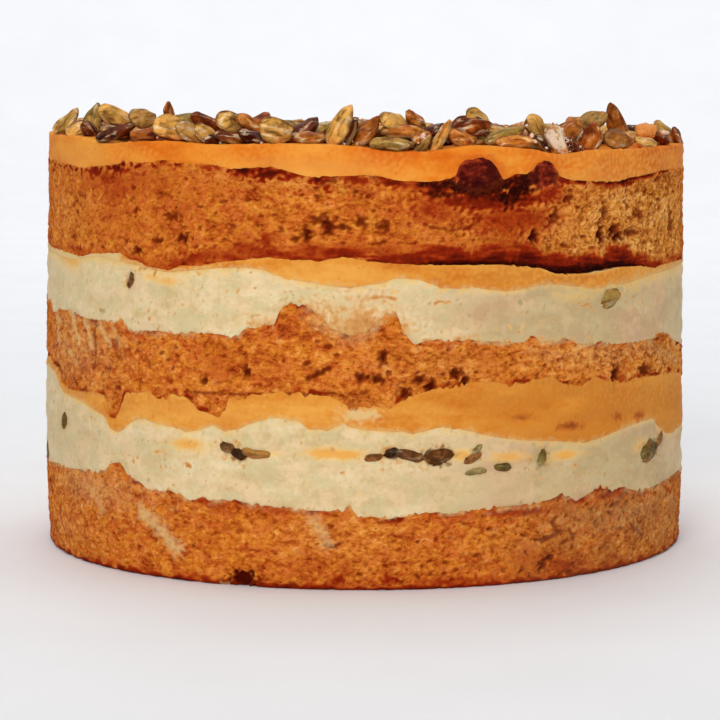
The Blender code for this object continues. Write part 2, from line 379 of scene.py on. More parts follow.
# closer crumb on the left of the top sponge and of the bottom one, open
# and torn towards the right
density -= 0.30 * smooth(-frontdeg, 12.0, 40.0) * is_top
density += 0.55 * smooth(frontdeg, 26.0, 38.0) * is_top
density -= 0.32 * smooth(-frontdeg, -2.0, 12.0) * is_bottom
density += 0.15 * smooth(frontdeg, -5.0, 25.0)
density += 0.30 * smooth(frontdeg, 0.0, 24.0) * is_bottom * (frontdeg < 90.0)
density = np.clip(density, 0.2, 1.8)

small = band(31, 1.5, 1.05)
medium = band(32, 3.0, 1.9)
large = band(33, 5.6, 3.2)
p_small = np.clip(small - 1.25 + 0.40 * (density - 1.0), 0.0, 1.2)
p_medium = np.clip(medium - 1.45 + 0.45 * (density - 1.0), 0.0, 1.1)
p_large = np.clip(large - 2.1 + 0.50 * (density - 1.0), 0.0, 0.9)
crumb = (0.11 * band(34, 7.0, 4.2) + 0.13 * band(35, 3.4, 2.1)
         + 0.085 * band(36, 1.7, 1.15))
crumb = crumb * (0.7 + 0.3 * density)
# creases between rounded crumbs, deepest where the crumb is open
crease = np.clip(1.0 - np.abs(band(38, 2.5, 2.3)) / 0.75, 0.0, 1.0) ** 1.4
crease *= np.clip(0.55 + 0.5 * band(39, 6.0, 4.5, low=True), 0.0, 1.0)
crease *= np.clip(density - 0.35, 0.1, 1.2)
# wormy open crumb on the right of the top sponge
open_crumb = (smooth(frontdeg, 30.0, 42.0) * (frontdeg < 110.0) * is_top
              + 0.45 * smooth(frontdeg, 36.0, 50.0) * (frontdeg < 100.0)
              * is_middle)
worm = np.clip(1.0 - np.abs(band(40, 2.7, 2.3)) / 0.42, 0.0, 1.0) ** 1.1
worm *= np.clip(0.70 + 0.45 * band(48, 5.0, 4.0, low=True), 0.05, 1.2)
sponge_relief = (crumb - 0.26 * p_small - 0.45 * p_medium - 0.60 * p_large
                 - 0.30 * crease - 0.34 * worm * open_crumb)
# painted shade in the pores, creases and worm holes
sponge_pit_shade = np.clip(0.42 * p_small + 0.50 * p_medium + 0.55 * p_large
                     + 0.30 * crease + 0.40 * worm * open_crumb, 0, 0.66)

broad = 0.30 * band(37, 60.0, 45.0, low=True)
# pressed smooth against its ring: little stands out, more is torn inwards
sponge_relief = np.where(sponge_relief > 0.06,
                         0.06 + 0.35 * (sponge_relief - 0.06), sponge_relief)
relief += broad * 0.35
relief += np.where(is_sponge, sponge_relief, 0.0)
pit_shade = np.where(is_sponge, sponge_pit_shade, 0.0)

# ---- cream: scraped smooth, with small bubbles -----------------------
scrape = band(41, 26.0, 1.9, width=0.6)
wave = band(42, 18.0, 6.0)
bubbles = np.clip(band(43, 1.0, 0.9) - 2.35, 0.0, 1.0)
dimples = np.clip(band(44, 2.2, 1.7) - 2.3, 0.0, 1.0)
cream_relief = (0.035 * scrape + 0.12 * wave - 0.75 * bubbles
                - 0.6 * dimples - 0.12)
is_cream = is_cream1 | is_cream2
relief += np.where(is_cream, cream_relief, 0.0)
# painted shade in the bubbles and dimples
pit_shade = np.where(is_cream, np.clip(0.6 * bubbles + 0.5 * dimples, 0, 1), pit_shade)

# ---- orange filling and frosting -------------------------------------
is_orange = is_fill1 | is_fill2 | is_frost
orange_relief = (0.03 * band(45, 30.0, 1.6, width=0.6)
                 + 0.10 * band(46, 14.0, 5.0)
                 - 0.7 * np.clip(band(47, 1.0, 0.9) - 2.75, 0.0, 1.0) - 0.1)
relief += np.where(is_orange, orange_relief, 0.0)

# the lower edge of the top sponge is drawn in, most at the front right, so
# that the thin filling under it stands out as a ledge
hang = smooth(frontdeg, 2.0, 16.0) * (1.0 - smooth(frontdeg, 50.0, 60.0))
back_hang = smooth(np.cos(np.radians(frontdeg - 205.0)), 0.55, 0.85)
hang = np.maximum(0.12, np.maximum(hang, 0.7 * back_hang))
up_c = ZZ - EDGE["C"]
relief -= np.where(is_top, 1.35 * hang
                   * np.clip(1.0 - up_c / 3.0, 0.0, 1.0) ** 1.5, 0.0)
relief += np.where(is_fill2, 0.25 * hang
                   * np.clip(1.0 + up_c / 2.0, 0.0, 1.0), 0.0)

# ---- browned crust of the sponges; the mask runs from 0 to 2 ----------
# along the lower edge of the top sponge, by angle: height and strength
CRUST = [(-180, 3.4, 1.1), (-100, 3.0, 0.9), (-64, 1.6, 0.6),
         (-40, 1.9, 0.7), (-32, 2.8, 0.9), (-21, 3.8, 1.0), (-10, 4.2, 1.05),
         (6, 4.9, 1.35), (12, 5.4, 1.8), (31, 6.0, 2.0), (40, 6.4, 2.3),
         (48, 6.0, 2.2), (56, 4.4, 1.4), (66, 2.4, 0.8), (100, 3.0, 0.9),
         (180, 3.4, 1.1)]
crust_table = np.array(CRUST, float).T
crust_mm = np.interp(frontdeg, crust_table[0], crust_table[1])
crust_top = np.interp(frontdeg, crust_table[0], crust_table[2])
baked = np.clip(1.0 - up_c / (crust_mm * (1.0 + 0.20 * band(69, 9.0, 9.0))
                              + 0.25 * ragged_noise).clip(0.5), 0.0, 1.0)
baked = crust_top * baked ** 0.85 * is_top
baked *= np.clip(0.95 + 0.14 * band(62, 14.0, 3.0)
                 + 0.16 * band(70, 9.0, 1.0, width=0.6), 0.0, 1.25)
red = np.maximum(red, baked)
# its last line is nearly black there: dark crust, and painted shadow in the recess above the ledge
SHADE = [(-180, 0.8), (-90, 0.5), (-10, 0.15), (4, 0.35), (12, 0.8),
         (22, 0.9), (31, 1.1), (38, 2.1), (46, 1.9), (54, 0.7), (60, 0.3),
         (110, 0.5), (150, 1.6), (180, 0.8)]
shade_mm = np.interp(frontdeg, *np.array(SHADE, float).T)
dark_and_shade = np.maximum(dark_and_shade, is_top * np.clip(
    1.35 - up_c / (shade_mm * (1.0 + 0.15 * rough_noise)).clip(0.12),
    0.0, 1.0) * smooth(shade_mm, 0.1, 1.1))
down_b = EDGE["B"] - ZZ
# under the frosting: faint on the left, a thin dark line on the right
mid_b = smooth(frontdeg, -33.0, -22.0) * (1.0 - smooth(frontdeg, 33.0, 38.0))
thin_b = smooth(frontdeg, 34.0, 37.0) * (1.0 - smooth(frontdeg, 62.0, 70.0))
away_b = 0.75 * (np.abs(frontdeg) > 80.0) * np.clip(
    0.5 + 0.5 * band(66, 30.0, 30.0, low=True), 0.0, 1.0)
streaky = np.clip(0.60 + 0.50 * band(63, 9.0, 3.0), 0.0, 1.25)
red = np.maximum(red, is_top * np.maximum(1.0 * mid_b, away_b) * streaky
                 * np.clip(1.3 - down_b / (1.7 + 0.6 * rough_noise).clip(0.4),
                           0.0, 1.0))
red = np.maximum(red, is_top * 1.35 * thin_b * np.clip(
    1.4 - down_b / 0.85, 0.0, 1.0) * np.clip(0.9 + 0.3 * rough_noise, 0, 1))
dark_and_shade = np.maximum(dark_and_shade, is_top * 0.75 * thin_b * np.clip(
    1.4 - down_b / 0.50, 0.0, 1.0) * np.clip(0.85 + 0.4 * rough_noise, 0, 1))
dark_and_shade = np.maximum(dark_and_shade, 0.45 * is_top * np.maximum(mid_b, 0.6 * away_b)
                  * np.clip(1.3 - down_b / (0.8 + 0.3 * rough_noise).clip(0.2),
                            0.0, 1.0)
                  * np.clip(0.1 + 0.7 * band(64, 8.0, 3.0), 0.0, 1.3))
left_b = smooth(-frontdeg, 28.0, 35.0) * (frontdeg > -85.0) * is_top
speckle = np.clip(0.30 + 0.95 * band(74, 2.4, 1.9), 0.0, 1.5)
red = np.maximum(red, left_b * speckle * np.clip(1.25 - down_b / (
    2.4 + 0.9 * rough_noise).clip(0.8), 0.0, 1.0))
dark_and_shade = np.maximum(dark_and_shade, 0.5 * left_b * np.clip(speckle - 0.75, 0.0, 1.0)
                  * np.clip(1.3 - down_b / 1.8, 0.0, 1.0))
for low, cond, amount in (("H", is_bottom, 0.75), ("E", is_middle, 0.65),
                          ("F", is_middle, 0.80)):
    away = np.abs(EDGE[low] - ZZ)
    near = np.clip(1.3 - away / (1.2 + 0.5 * rough_noise).clip(0.3), 0, 1)
    red = np.maximum(red, amount * near * cond
                     * np.clip(0.45 + 0.7 * band(65, 8.0, 4.0), 0.0, 1.5))
base_crust = np.clip(1.5 - ZZ / (1.1 + 0.35 * rough_noise).clip(0.3),
                     0.0, 1.0)
red = np.maximum(red, 1.15 * base_crust * is_bottom)
# darkest at the very bottom: baked crust, and painted contact shadow where the cake meets the floor
dark_and_shade = np.maximum(dark_and_shade, 0.50 * is_bottom * np.clip(
    1.3 - ZZ / (0.6 + 0.15 * rough_noise).clip(0.2), 0.0, 1.0))
# the thick crust is smooth
firm = smooth(baked, 0.5, 1.4)
relief = np.where(is_top, relief + 0.55 * firm * np.maximum(
    0.0, -sponge_relief), relief)
pit_shade = np.where(is_top, pit_shade * (1.0 - 0.75 * firm), pit_shade)

# ---- duller cream and filling towards the right ----------------------
DULL = [(-180, 0.35), (-95, 0.30), (-70, 0.20), (-40, 0.12), (-20, 0.0),
        (4, 0.05), (12, 0.30), (20, 0.58), (30, 0.80), (42, 0.96),
        (56, 0.90), (70, 0.72), (100, 0.45), (180, 0.35)]
dull = np.interp(frontdeg, *np.array(DULL, float).T)
tan = np.clip(dull * (0.92 + 0.20 * band(67, 16.0, 5.0, low=True)), 0.0, 1.2)
tan = np.where(is_fill1 | is_fill2, np.clip(tan + 0.10, 0.0, 1.2), tan)
tan = np.where(is_cream2, tan + 0.26 * smooth(frontdeg, 8.0, 26.0)
               * (1.0 - smooth(frontdeg, 44.0, 56.0)), tan)
duller = {"frost": 0.55 * smooth(frontdeg, 18.0, 44.0) * (frontdeg < 120.0),
          "bottom": 0.95 * smooth(frontdeg, 16.0, 40.0) * (frontdeg < 120.0)}
fade = np.clip(0.9 + 0.25 * band(73, 14.0, 8.0), 0.4, 1.3)
tan = np.where(is_cream1 | is_cream2 | is_fill1 | is_fill2, tan, 0.0)
tan = np.where(is_frost, duller["frost"] * fade, tan)
tan = np.where(is_bottom, duller["bottom"] * fade, tan)


# Seeds that lie sunk in the cream and show a little at the side: frame
# point, length, width, thickness, tilt, face, tone, how dark and damp,
# painted shade in the cream round them
SUNK_SEEDS = [
    (130, 279, 5.2, 3.4, 2.6, 64, 40, 1.1, 1.0, 0.5),
    (611, 297, 8.0, 4.9, 2.2, 8, 86, 4.2, 0.5, 0.15),
    (66, 420, 4.8, 2.8, 1.9, 80, 20, 2.9, 1.0, 0.35),
    (50, 447, 6.6, 2.2, 1.4, 84, 20, 3.2, 1.0, 0.4),
    (229, 447, 4.7, 3.0, 3.3, -20, 25, 0.9, 1.0, 0.6),
    (239, 454, 4.5, 3.0, 3.2, -40, 25, 0.5, 1.0, 0.8),
    (257, 453, 7.8, 2.8, 2.4, -10, 20, 2.2, 0.5, 0.1),
    (374, 457, 5.4, 2.6, 2.2, 12, 20, 2.1, 0.6, 0.2),
    (392, 453, 4.2, 3.0, 3.0, 5, 25, 0.1, 1.0, 0.8),
    (411, 456, 8.0, 3.0, 2.9, -13, 30, 1.5, 0.9, 0.4),
    (438, 456, 8.0, 4.7, 2.8, 2, 76, 1.0, 0.85, 0.8),
    (473, 457, 6.0, 2.8, 2.4, 22, 25, 1.5, 0.9, 0.4),
    (477, 448, 3.6, 2.0, 1.3, 42, 25, 3.4, 1.0, 0.3),
    (476, 471, 6.0, 2.0, 1.6, 4, 20, 4.4, 1.0, 0.1),
    (502, 467, 4.8, 2.4, 2.0, -8, 25, 3.0, 1.0, 0.4),
    (541, 456, 4.6, 2.8, 2.6, 68, 30, 3.5, 1.0, 0.5),
    (648, 449, 9.0, 5.6, 2.4, 14, 82, 2.8, 1.0, 0.8),
    (658, 438, 5.4, 2.2, 1.6, 36, 25, 1.6, 1.0, 0.5),
]


def sunk_seeds():
    """The seeds of the table and a few more on the far side."""
    places = [(*on_wall(x, y), *rest) for x, y, *rest in SUNK_SEEDS]
    rng = np.random.default_rng(88)
    for degrees in (96, 112, 114, 131, 150, 153, 163, 186, 204, 221, 224,
                    243, 262):
        theta = math.radians(degrees)
        low, high = (("E", "D") if degrees in (131, 204) else ("H", "G"))
        za, zb = float(border_at(low, theta)), float(border_at(high, theta))
        z = za + rng.uniform(0.40, 0.62) * (zb - za)
        places.append((theta, z, rng.uniform(4.4, 8.0), rng.uniform(2.4, 3.4),
                       rng.uniform(2.0, 3.2), rng.uniform(-30, 30),
                       rng.uniform(20, 40),
                       float(rng.choice([0.3, 1.1, 1.6, 3.2, 4.4])), 0.95,
                       0.5))
    return places


def finish_rasters():
    """Marks read from the photo, then marks of the same kinds behind."""
    global relief, pit_shade
    # --- dark lumps and the burnt place beside them, under the frosting
    patch(red, 420, 176, 462, 200, 1.0, hard=0.9, ragged=0.4)
    patch(red, 436, 188, 550, 212, 1.25, hard=0.9, ragged=0.35)
    patch(red, 500, 172, 536, 190, 1.3, hard=0.9, ragged=0.3)
    patch(red, 500, 205, 562, 235, 0.75, hard=0.8, ragged=0.45)
    patch(red, 538, 182, 564, 204, 1.0, hard=0.9, ragged=0.35)
    patch(red, 386, 177, 414, 189, 0.9, hard=1.0, ragged=0.4)
    for pts, width, value in (
            (((422, 184), (431, 183), (440, 187), (449, 184), (458, 187)),
             2.0, 0.85),
            (((432, 192), (440, 196), (448, 194)), 1.5, 0.75),
            (((388, 182), (398, 184), (410, 184)), 0.9, 0.45),
            (((456, 188), (466, 190), (478, 191), (490, 190), (500, 188),
              (507, 186)), 2.6, 0.95),
            (((462, 186), (470, 189), (478, 188)), 2.6, 1.0),
            (((503, 184), (512, 181), (522, 178), (533, 175)), 1.5, 0.95),
            (((531, 178), (525, 185), (517, 192), (508, 199)), 3.8, 1.0),
            (((474, 194), (488, 197), (502, 200), (512, 202)), 1.7, 0.62),
            (((520, 196), (532, 192), (542, 188)), 1.2, 0.5),
            (((452, 196), (462, 202), (474, 206)), 1.0, 0.5)):
        stroke(dark_and_shade, pts, width, value, hard=1.1, ragged=0.35)
    patch(maroon, 455, 155, 504, 191, 1.0, hard=2.0, ragged=0.10)
    patch(maroon, 529, 158, 559, 189, 0.80, hard=1.8, ragged=0.10)
    patch(dark_and_shade, 482, 165, 506, 192, 0.75, hard=0.9, ragged=0.15)
    patch(dark_and_shade, 460, 176, 500, 192, 0.60, hard=0.9, ragged=0.2)
    patch(dark_and_shade, 464, 163, 478, 172, 0.35, hard=0.8, ragged=0.3)
    patch(dark_and_shade, 546, 168, 560, 186, 0.55, hard=0.9, ragged=0.2)
    calm = 1.0 - np.clip(maroon * 1.4, 0.0, 1.0) * is_top
    relief = np.where(is_top, relief * (0.35 + 0.65 * calm), relief)
    pit_shade = np.where(is_top, pit_shade * calm, pit_shade)
    patch(relief, 457, 158, 502, 186, 0.50, hard=0.8, ragged=0.1, add=True)
    patch(relief, 532, 161, 558, 184, 0.45, hard=0.8, ragged=0.1, add=True)
    patch(relief, 458, 186, 504, 196, -0.7, hard=1.0, ragged=0.3, add=True)
    patch(relief, 504, 184, 528, 202, -0.8, hard=1.0, ragged=0.3, add=True)
    # crust spots along the frosting
    for x0, y0, x1, y1, value in (
            (88, 164, 98, 176, 1.1), (107, 164, 121, 174, 1.3),
            (95, 168, 112, 186, 0.7), (170, 160, 182, 167, 1.1),
            (196, 164, 212, 172, 0.8), (230, 167, 256, 176, 1.4),
            (250, 168, 284, 180, 1.4), (283, 173, 300, 180, 1.1),
            (310, 176, 326, 184, 1.3), (322, 184, 332, 192, 1.1),
            (345, 178, 372, 186, 0.9), (376, 178, 400, 188, 1.0),
            (558, 176, 574, 184, 1.2), (615, 172, 634, 184, 1.6)):
        patch(red, x0, y0, x1, y1, value, hard=1.1, ragged=0.4)
    for x0, y0, x1, y1, value in (
            (108, 165, 118, 172, 0.45), (235, 168, 250, 173, 0.55),
            (258, 170, 276, 176, 0.5), (313, 177, 323, 182, 0.55),
            (172, 161, 179, 165, 0.45), (380, 180, 392, 186, 0.4),
            (617, 174, 632, 183, 1.0)):
        patch(dark_and_shade, x0, y0, x1, y1, value, hard=1.1, ragged=0.4)
    # painted highlight: a pale line along the ledge of the thin filling
    line = np.clip(1.4 + up_c / 0.42, 0.0, 1.0) * is_fill2
    highlight_strength = np.interp(frontdeg, [-180, 6, 12, 28, 33, 40, 48, 54, 180],
                       [0.0, 0.0, 0.95, 1.0, 1.45, 1.6, 1.5, 0.0, 0.0])
    highlight_strength = highlight_strength * np.clip(0.85 + 0.25 * band(72, 9.0, 9.0), 0.3, 1.2)
    pale_and_highlight[:] = np.maximum(pale_and_highlight, line * highlight_strength)
    # on the far left the cream meets the top sponge
    left = 1.0 - smooth(frontdeg, -47.0, -44.0)
    near_left = left * (frontdeg > -90.0)
    cream[:] = np.maximum(cream, is_fill2 * near_left)
    patch(orange, 56, 252, 76, 263, 0.7, hard=1.0, ragged=0.3)

    # --- pits and cracks, (x0, y0, x1, y1, depth), sunk into the relief with painted shade inside, the deepest darker still
    for x0, y0, x1, y1, depth in (
            (131, 207, 135, 214, 0.5), (164, 213, 176, 220, 0.5),
            (176, 234, 188, 242, 0.8), (150, 237, 159, 243, 0.5),
            (130, 246, 138, 254, 0.7), (302, 229, 310, 241, 0.9),
            (292, 236, 298, 241, 0.5), (322, 218, 332, 235, 0.8),
            (335, 224, 350, 230, 0.6), (312, 216, 324, 224, 0.4),
            (377, 222, 391, 231, 0.6), (357, 216, 366, 228, 0.5),
            (530, 230, 538, 242, 1.0), (550, 216, 557, 224, 0.5),
            (598, 226, 605, 242, 1.0), (612, 226, 619, 236, 1.0),
            (615, 231, 624, 241, 1.0), (624, 229, 640, 235, 0.6),
            (603, 208, 610, 218, 0.5),
            (567, 193, 574, 202, 0.4), (553, 207, 560, 222, 0.4),
            (636, 212, 645, 218, 0.35), (668, 216, 673, 232, 0.35),
            (55, 362, 60, 371, 0.7), (202, 376, 208, 384, 0.7),
            (244, 367, 251, 375, 0.9), (611, 364, 619, 383, 0.8),
            (450, 369, 460, 380, 0.8), (461, 374, 469, 387, 0.8),
            (379, 351, 387, 363, 0.8), (355, 374, 368, 381, 0.8),
            (370, 376, 386, 383, 0.8), (414, 374, 424, 384, 0.8),
            (425, 380, 436, 391, 0.8), (399, 387, 409, 399, 0.8),
            (639, 364, 649, 376, 0.7), (231, 571, 254, 588, 1.3),
            (545, 554, 553, 561, 0.8), (539, 561, 546, 571, 0.8)):
        patch(relief, x0, y0, x1, y1, -depth, hard=1.1, ragged=0.35, add=True)
        patch(pit_shade, x0, y0, x1, y1, 0.50 + 0.42 * depth, hard=1.4, ragged=0.35)
        if depth > 0.75:
            dx, dy = 0.16 * (x1 - x0), 0.16 * (y1 - y0)
            patch(dark_and_shade, x0 + dx, y0 + dy, x1 - dx, y1 - dy,
                  0.55 * min(1.0, depth), hard=1.2, ragged=0.35)
    # painted shadow inside the deep pit near the base
    patch(dark_and_shade, 233, 571, 246, 586, 0.9, hard=1.4, ragged=0.25)
    patch(dark_and_shade, 240, 580, 256, 588, 0.9, hard=1.4, ragged=0.25)
    # cracks: grooves in the relief with painted shade along them
    for pts, width, value in (
            (((424, 224), (434, 228), (450, 230), (468, 228), (478, 222),
              (483, 214)), 0.6, 0.55),
            (((308, 378), (318, 374), (328, 368)), 1.1, 0.8),
            (((185, 391), (210, 393), (235, 394), (260, 394), (285, 393),
              (310, 394), (335, 393)), 0.5, 0.6),
            (((96, 320), (95, 335), (97, 350), (95, 369)), 0.7, 0.7),
            (((530, 539), (545, 540), (560, 530)), 0.6, 0.8),
            (((568, 529), (573, 538)), 0.6, 0.8),
            (((630, 524), (637, 531), (642, 536)), 0.6, 0.8),
            (((325, 545), (333, 547), (340, 544)), 0.6, 0.8)):
        stroke(relief, pts, width, -0.45 * value, hard=1.0, ragged=0.2)
        stroke(pit_shade, pts, width, value, hard=1.0, ragged=0.25)

    # --- reddish places
    for x0, y0, x1, y1, value in (
            (170, 250, 222, 266, 0.8), (225, 240, 270, 258, 0.8),
            (258, 232, 276, 250, 0.8), (62, 244, 86, 254, 0.7),
            (165, 258, 190, 271, 0.8), (305, 246, 420, 256, 0.6),
            (396, 190, 476, 228, 0.66), (456, 200, 566, 238, 0.80),
            (225, 225, 300, 262, 0.3), (330, 574, 347, 585, 0.9),
            (378, 573, 402, 585, 0.9), (550, 558, 582, 575, 0.8),
            (270, 545, 330, 575, 0.3), (410, 575, 500, 587, 0.7),
            (500, 540, 560, 580, 0.45), (600, 182, 625, 190, 0.7),
            (470, 350, 500, 372, 0.4), (200, 350, 240, 380, 0.4),
            (60, 165, 170, 200, 0.55), (95, 170, 130, 215, 0.6),
            (48, 195, 150, 245, 0.25), (150, 168, 175, 195, 0.5),
            (170, 180, 205, 215, 0.4), (205, 175, 230, 200, 0.4),
            (110, 205, 170, 245, 0.3),
            (541, 486, 572, 498, 0.9), (592, 484, 630, 500, 0.8),
            (200, 496, 240, 512, 0.7), (240, 502, 330, 516, 0.6),
            (470, 508, 560, 516, 0.8)):
        patch(red, x0, y0, x1, y1, value, hard=0.8, ragged=0.5)
    # --- paler, yellower crumb
    for x0, y0, x1, y1, value in (
            (552, 172, 730, 268, 1.3), (400, 345, 530, 385, 0.45),
            (630, 335, 700, 385, 0.8),
            (540, 345, 640, 378, 0.6), (500, 515, 600, 560, 0.35),
            (630, 500, 680, 550, 0.5), (48, 175, 84, 250, 0.25),
            (425, 195, 470, 222, 0.35), (280, 510, 400, 560, 0.25)):
        patch(pale_and_highlight, x0, y0, x1, y1, value, hard=0.8, ragged=0.3)

    # --- paler places of the frosting and of the fillings
    for x0, y0, x1, y1, value in (
            (230, 155, 385, 184, 0.9), (262, 158, 350, 180, 0.6),
            (46, 142, 104, 172, 0.9), (520, 168, 640, 186, 0.4),
            (270, 262, 390, 290, 0.7), (240, 394, 400, 432, 0.55),
            (60, 384, 110, 412, 0.5)):
        patch(pale_and_highlight, x0, y0, x1, y1, value, hard=0.8, ragged=0.2)
    extra = np.zeros_like(tan)
    for x0, y0, x1, y1, value in (
            (116, 396, 190, 428, 0.8), (160, 398, 262, 426, 0.95),
            (226, 396, 300, 430, 0.5)):
        patch(extra, x0, y0, x1, y1, value, hard=0.7, ragged=0.2)
    pale_and_highlight[:] = np.where(is_fill1, np.maximum(pale_and_highlight, extra), pale_and_highlight)
    # duller, pinkish places of the creams
    extra = np.zeros_like(tan)
    for x0, y0, x1, y1, value in (
            (120, 262, 150, 300, 0.25), (48, 405, 90, 470, 0.35),
            (540, 286, 570, 312, 0.9), (588, 300, 640, 338, 1.15),
            (560, 455, 600, 480, 1.0), (598, 425, 640, 462, 1.1),
            (628, 455, 676, 480, 1.1), (420, 306, 470, 330, 0.55),
            (350, 290, 400, 306, 0.3), (400, 470, 440, 500, 0.4),
            (520, 466, 560, 492, 0.95), (646, 290, 676, 325, 1.1)):
        patch(extra, x0, y0, x1, y1, value, hard=0.7, ragged=0.35)
    tan[:] = np.where(is_cream1 | is_cream2, np.maximum(tan, extra), tan)
    # --- cream drawn over the sponge
    for pts, width, value in (
            (((93, 488), (99, 498), (104, 510)), 2.6, 0.7),
            (((143, 511), (155, 524), (168, 537), (178, 549)), 2.8, 1.05),
            (((150, 512), (160, 522), (166, 530)), 2.4, 0.7),
            (((315, 520), (320, 530), (326, 542)), 2.8, 0.8),
            (((563, 503), (580, 512), (600, 525)), 3.2, 0.45),
            (((613, 500), (625, 515), (640, 530)), 3.2, 0.5),
            (((655, 485), (665, 495), (675, 505)), 4.0, 0.55),
            (((222, 583), (227, 587), (229, 590)), 1.0, 0.9),
            (((60, 318), (75, 330), (92, 342)), 3.8, 0.5),
            (((95, 325), (108, 336), (125, 344)), 3.2, 0.5),
            (((58, 345), (62, 360), (66, 375)), 3.4, 0.45),
            (((530, 350), (560, 356), (600, 354), (640, 350)), 4.2, 0.42),
            (((645, 345), (660, 352), (676, 360)), 4.0, 0.5),
            (((560, 350), (590, 362), (610, 360)), 3.4, 0.35),
            (((310, 318), (330, 330), (350, 338)), 3.0, 0.6),
            (((360, 338), (372, 330), (380, 322)), 2.6, 0.6)):
        stroke(cream, pts, width, value, hard=0.45, ragged=0.35)
    patch(cream, 340, 408, 378, 421, 0.85, hard=0.9, ragged=0.25)
    for pts, width, value in (
            (((57, 308), (59, 322), (60, 338)), 2.2, 0.8),
            (((72, 310), (75, 325), (80, 342)), 1.9, 0.8),
            (((84, 316), (89, 330), (92, 346)), 1.6, 0.75),
            (((99, 318), (104, 332), (110, 344)), 1.5, 0.7),
            (((112, 322), (117, 334), (120, 342)), 1.2, 0.6),
            (((66, 338), (72, 352), (78, 362)), 1.6, 0.55)):
        stroke(cream, pts, 1.25 * width, 1.15 * value, hard=0.6, ragged=0.3)
    patch(cream, 40, 312, 112, 388, 0.42, hard=0.6, ragged=0.4)
    patch(cream, 50, 462, 134, 512, 0.50, hard=0.55, ragged=0.5)
    patch(cream, 42, 490, 90, 560, 0.34, hard=0.55, ragged=0.5)
    patch(cream, 592, 490, 680, 530, 0.48, hard=0.55, ragged=0.5)
    patch(cream, 640, 490, 690, 560, 0.34, hard=0.55, ragged=0.5)
    patch(cream, 296, 508, 336, 560, 0.30, hard=0.55, ragged=0.5)
    # thin veil of cream on the sponge just beside the cream layers
    for name, cond, sign, reach in (("H", is_bottom, -1.0, 1.9),
                                    ("E", is_middle, -1.0, 2.2),
                                    ("D", is_top, 1.0, 0.5)):
        away = sign * (ZZ - EDGE[name])
        veil = np.clip(1.0 - away / reach, 0.0, 1.0) * cond
        veil = veil * np.clip(0.45 + 0.5 * band(61, 9.0, 3.0)
                              + 0.15 * ragged_noise, 0.0, 1.0)
        cream[:] = np.maximum(cream, 0.8 * veil)

    # --- cream and orange filling blend where they touch
    def beside(name, sign, reach):
        away = sign * (ZZ - EDGE[name])
        return np.clip(1.0 - away / reach, 0.0, 1.0)

    blur = np.clip(0.9 + 0.35 * rough_noise + 0.2 * ragged_noise, 0.25, 1.7)
    wide = 1.0 + 1.8 * smooth(frontdeg, 44.0, 54.0) * (frontdeg < 90.0) \
        + 0.8 * smooth(-frontdeg, 18.0, 30.0) * (frontdeg > -90.0)
    for name, lower, upper in (("G", is_cream1, is_fill1),
                               ("D", is_cream2, is_fill2)):
        reach = blur * (wide if name == "D" else 1.0)
        orange[:] = np.maximum(orange, 0.58 * beside(name, -1.0, 1.7 * reach)
                               * lower)
        cream[:] = np.maximum(cream, 0.55 * beside(name, 1.0, 1.2 * reach)
                              * upper)
    orange[:] = np.maximum(orange, 0.5 * beside("F", 1.0, 0.6 * blur)
                           * is_middle)
    orange[:] = np.maximum(orange, 0.5 * beside("B", -1.0, 0.6 * blur)
                           * is_top * (1.0 - mid_b) * (1.0 - thin_b))
    # crumbs of sponge along the creams, more where the sponge is torn
    crumbs = np.clip(band(68, 1.1, 0.9) - 1.3
                     + 0.5 * smooth(frontdeg, 8.0, 30.0), 0.0, 1.0)
    for name, sign, cond in (("E", 1.0, is_cream2), ("H", 1.0, is_cream1)):
        brown[:] = np.maximum(brown, cond * (
            0.7 * crumbs * beside(name, sign, 1.6)
            + 0.45 * np.clip(0.4 + 0.6 * rough_noise, 0, 1)
            * beside(name, sign, 0.7)))

    # --- orange smears, and sponge smears on the cream
    for pts, width, value in (
            (((62, 256), (68, 260), (75, 262)), 2.4, 0.8),
            (((555, 294), (568, 296), (580, 297)), 1.5, 0.45),
            (((150, 345), (170, 352), (190, 350)), 1.6, 0.25)):
        stroke(orange, pts, width * 1.35, value, hard=0.5, ragged=0.3)
    for x0, y0, x1, y1, value in (
            (140, 272, 164, 281, 0.62), (154, 276, 180, 286, 0.66),
            (552, 290, 598, 302, 0.40),
            (171, 437, 206, 451, 0.78), (186, 444, 212, 453, 0.5),
            (266, 450, 284, 457, 0.5), (306, 447, 346, 459, 0.85),
            (326, 449, 367, 460, 0.85), (447, 449, 474, 461, 0.8),
            (490, 451, 524, 462, 0.72), (546, 449, 578, 460, 0.75),
            (566, 451, 590, 457, 0.3), (632, 438, 648, 452, 0.6),
            (150, 450, 170, 456, 0.25), (604, 294, 624, 300, 0.2)):
        patch(orange, x0, y0, x1, y1, value, hard=0.75, ragged=0.12)
    for x0, y0, x1, y1, value in (
            (312, 296, 392, 342, 0.46), (326, 312, 388, 342, 0.66),
            (360, 322, 394, 342, 0.80), (392, 318, 410, 342, 0.6),
            (300, 300, 334, 330, 0.55), (246, 318, 284, 334, 0.45),
            (440, 333, 480, 343, 0.30), (530, 340, 565, 352, 0.45)):
        patch(brown, x0, y0, x1, y1, value, hard=0.55, ragged=0.3)
    # brown smudges in the lower filling
    for x0, y0, x1, y1, value in (
            (509, 412, 531, 422, 0.75), (555, 421, 581, 430, 1.0),
            (609, 411, 623, 422, 0.8), (631, 410, 644, 420, 0.85),
            (598, 418, 608, 425, 0.5), (70, 393, 90, 400, 0.35),
            (153, 409, 168, 416, 0.3), (480, 425, 500, 432, 0.35)):
        patch(brown, x0, y0, x1, y1, value, hard=0.6, ragged=0.2)
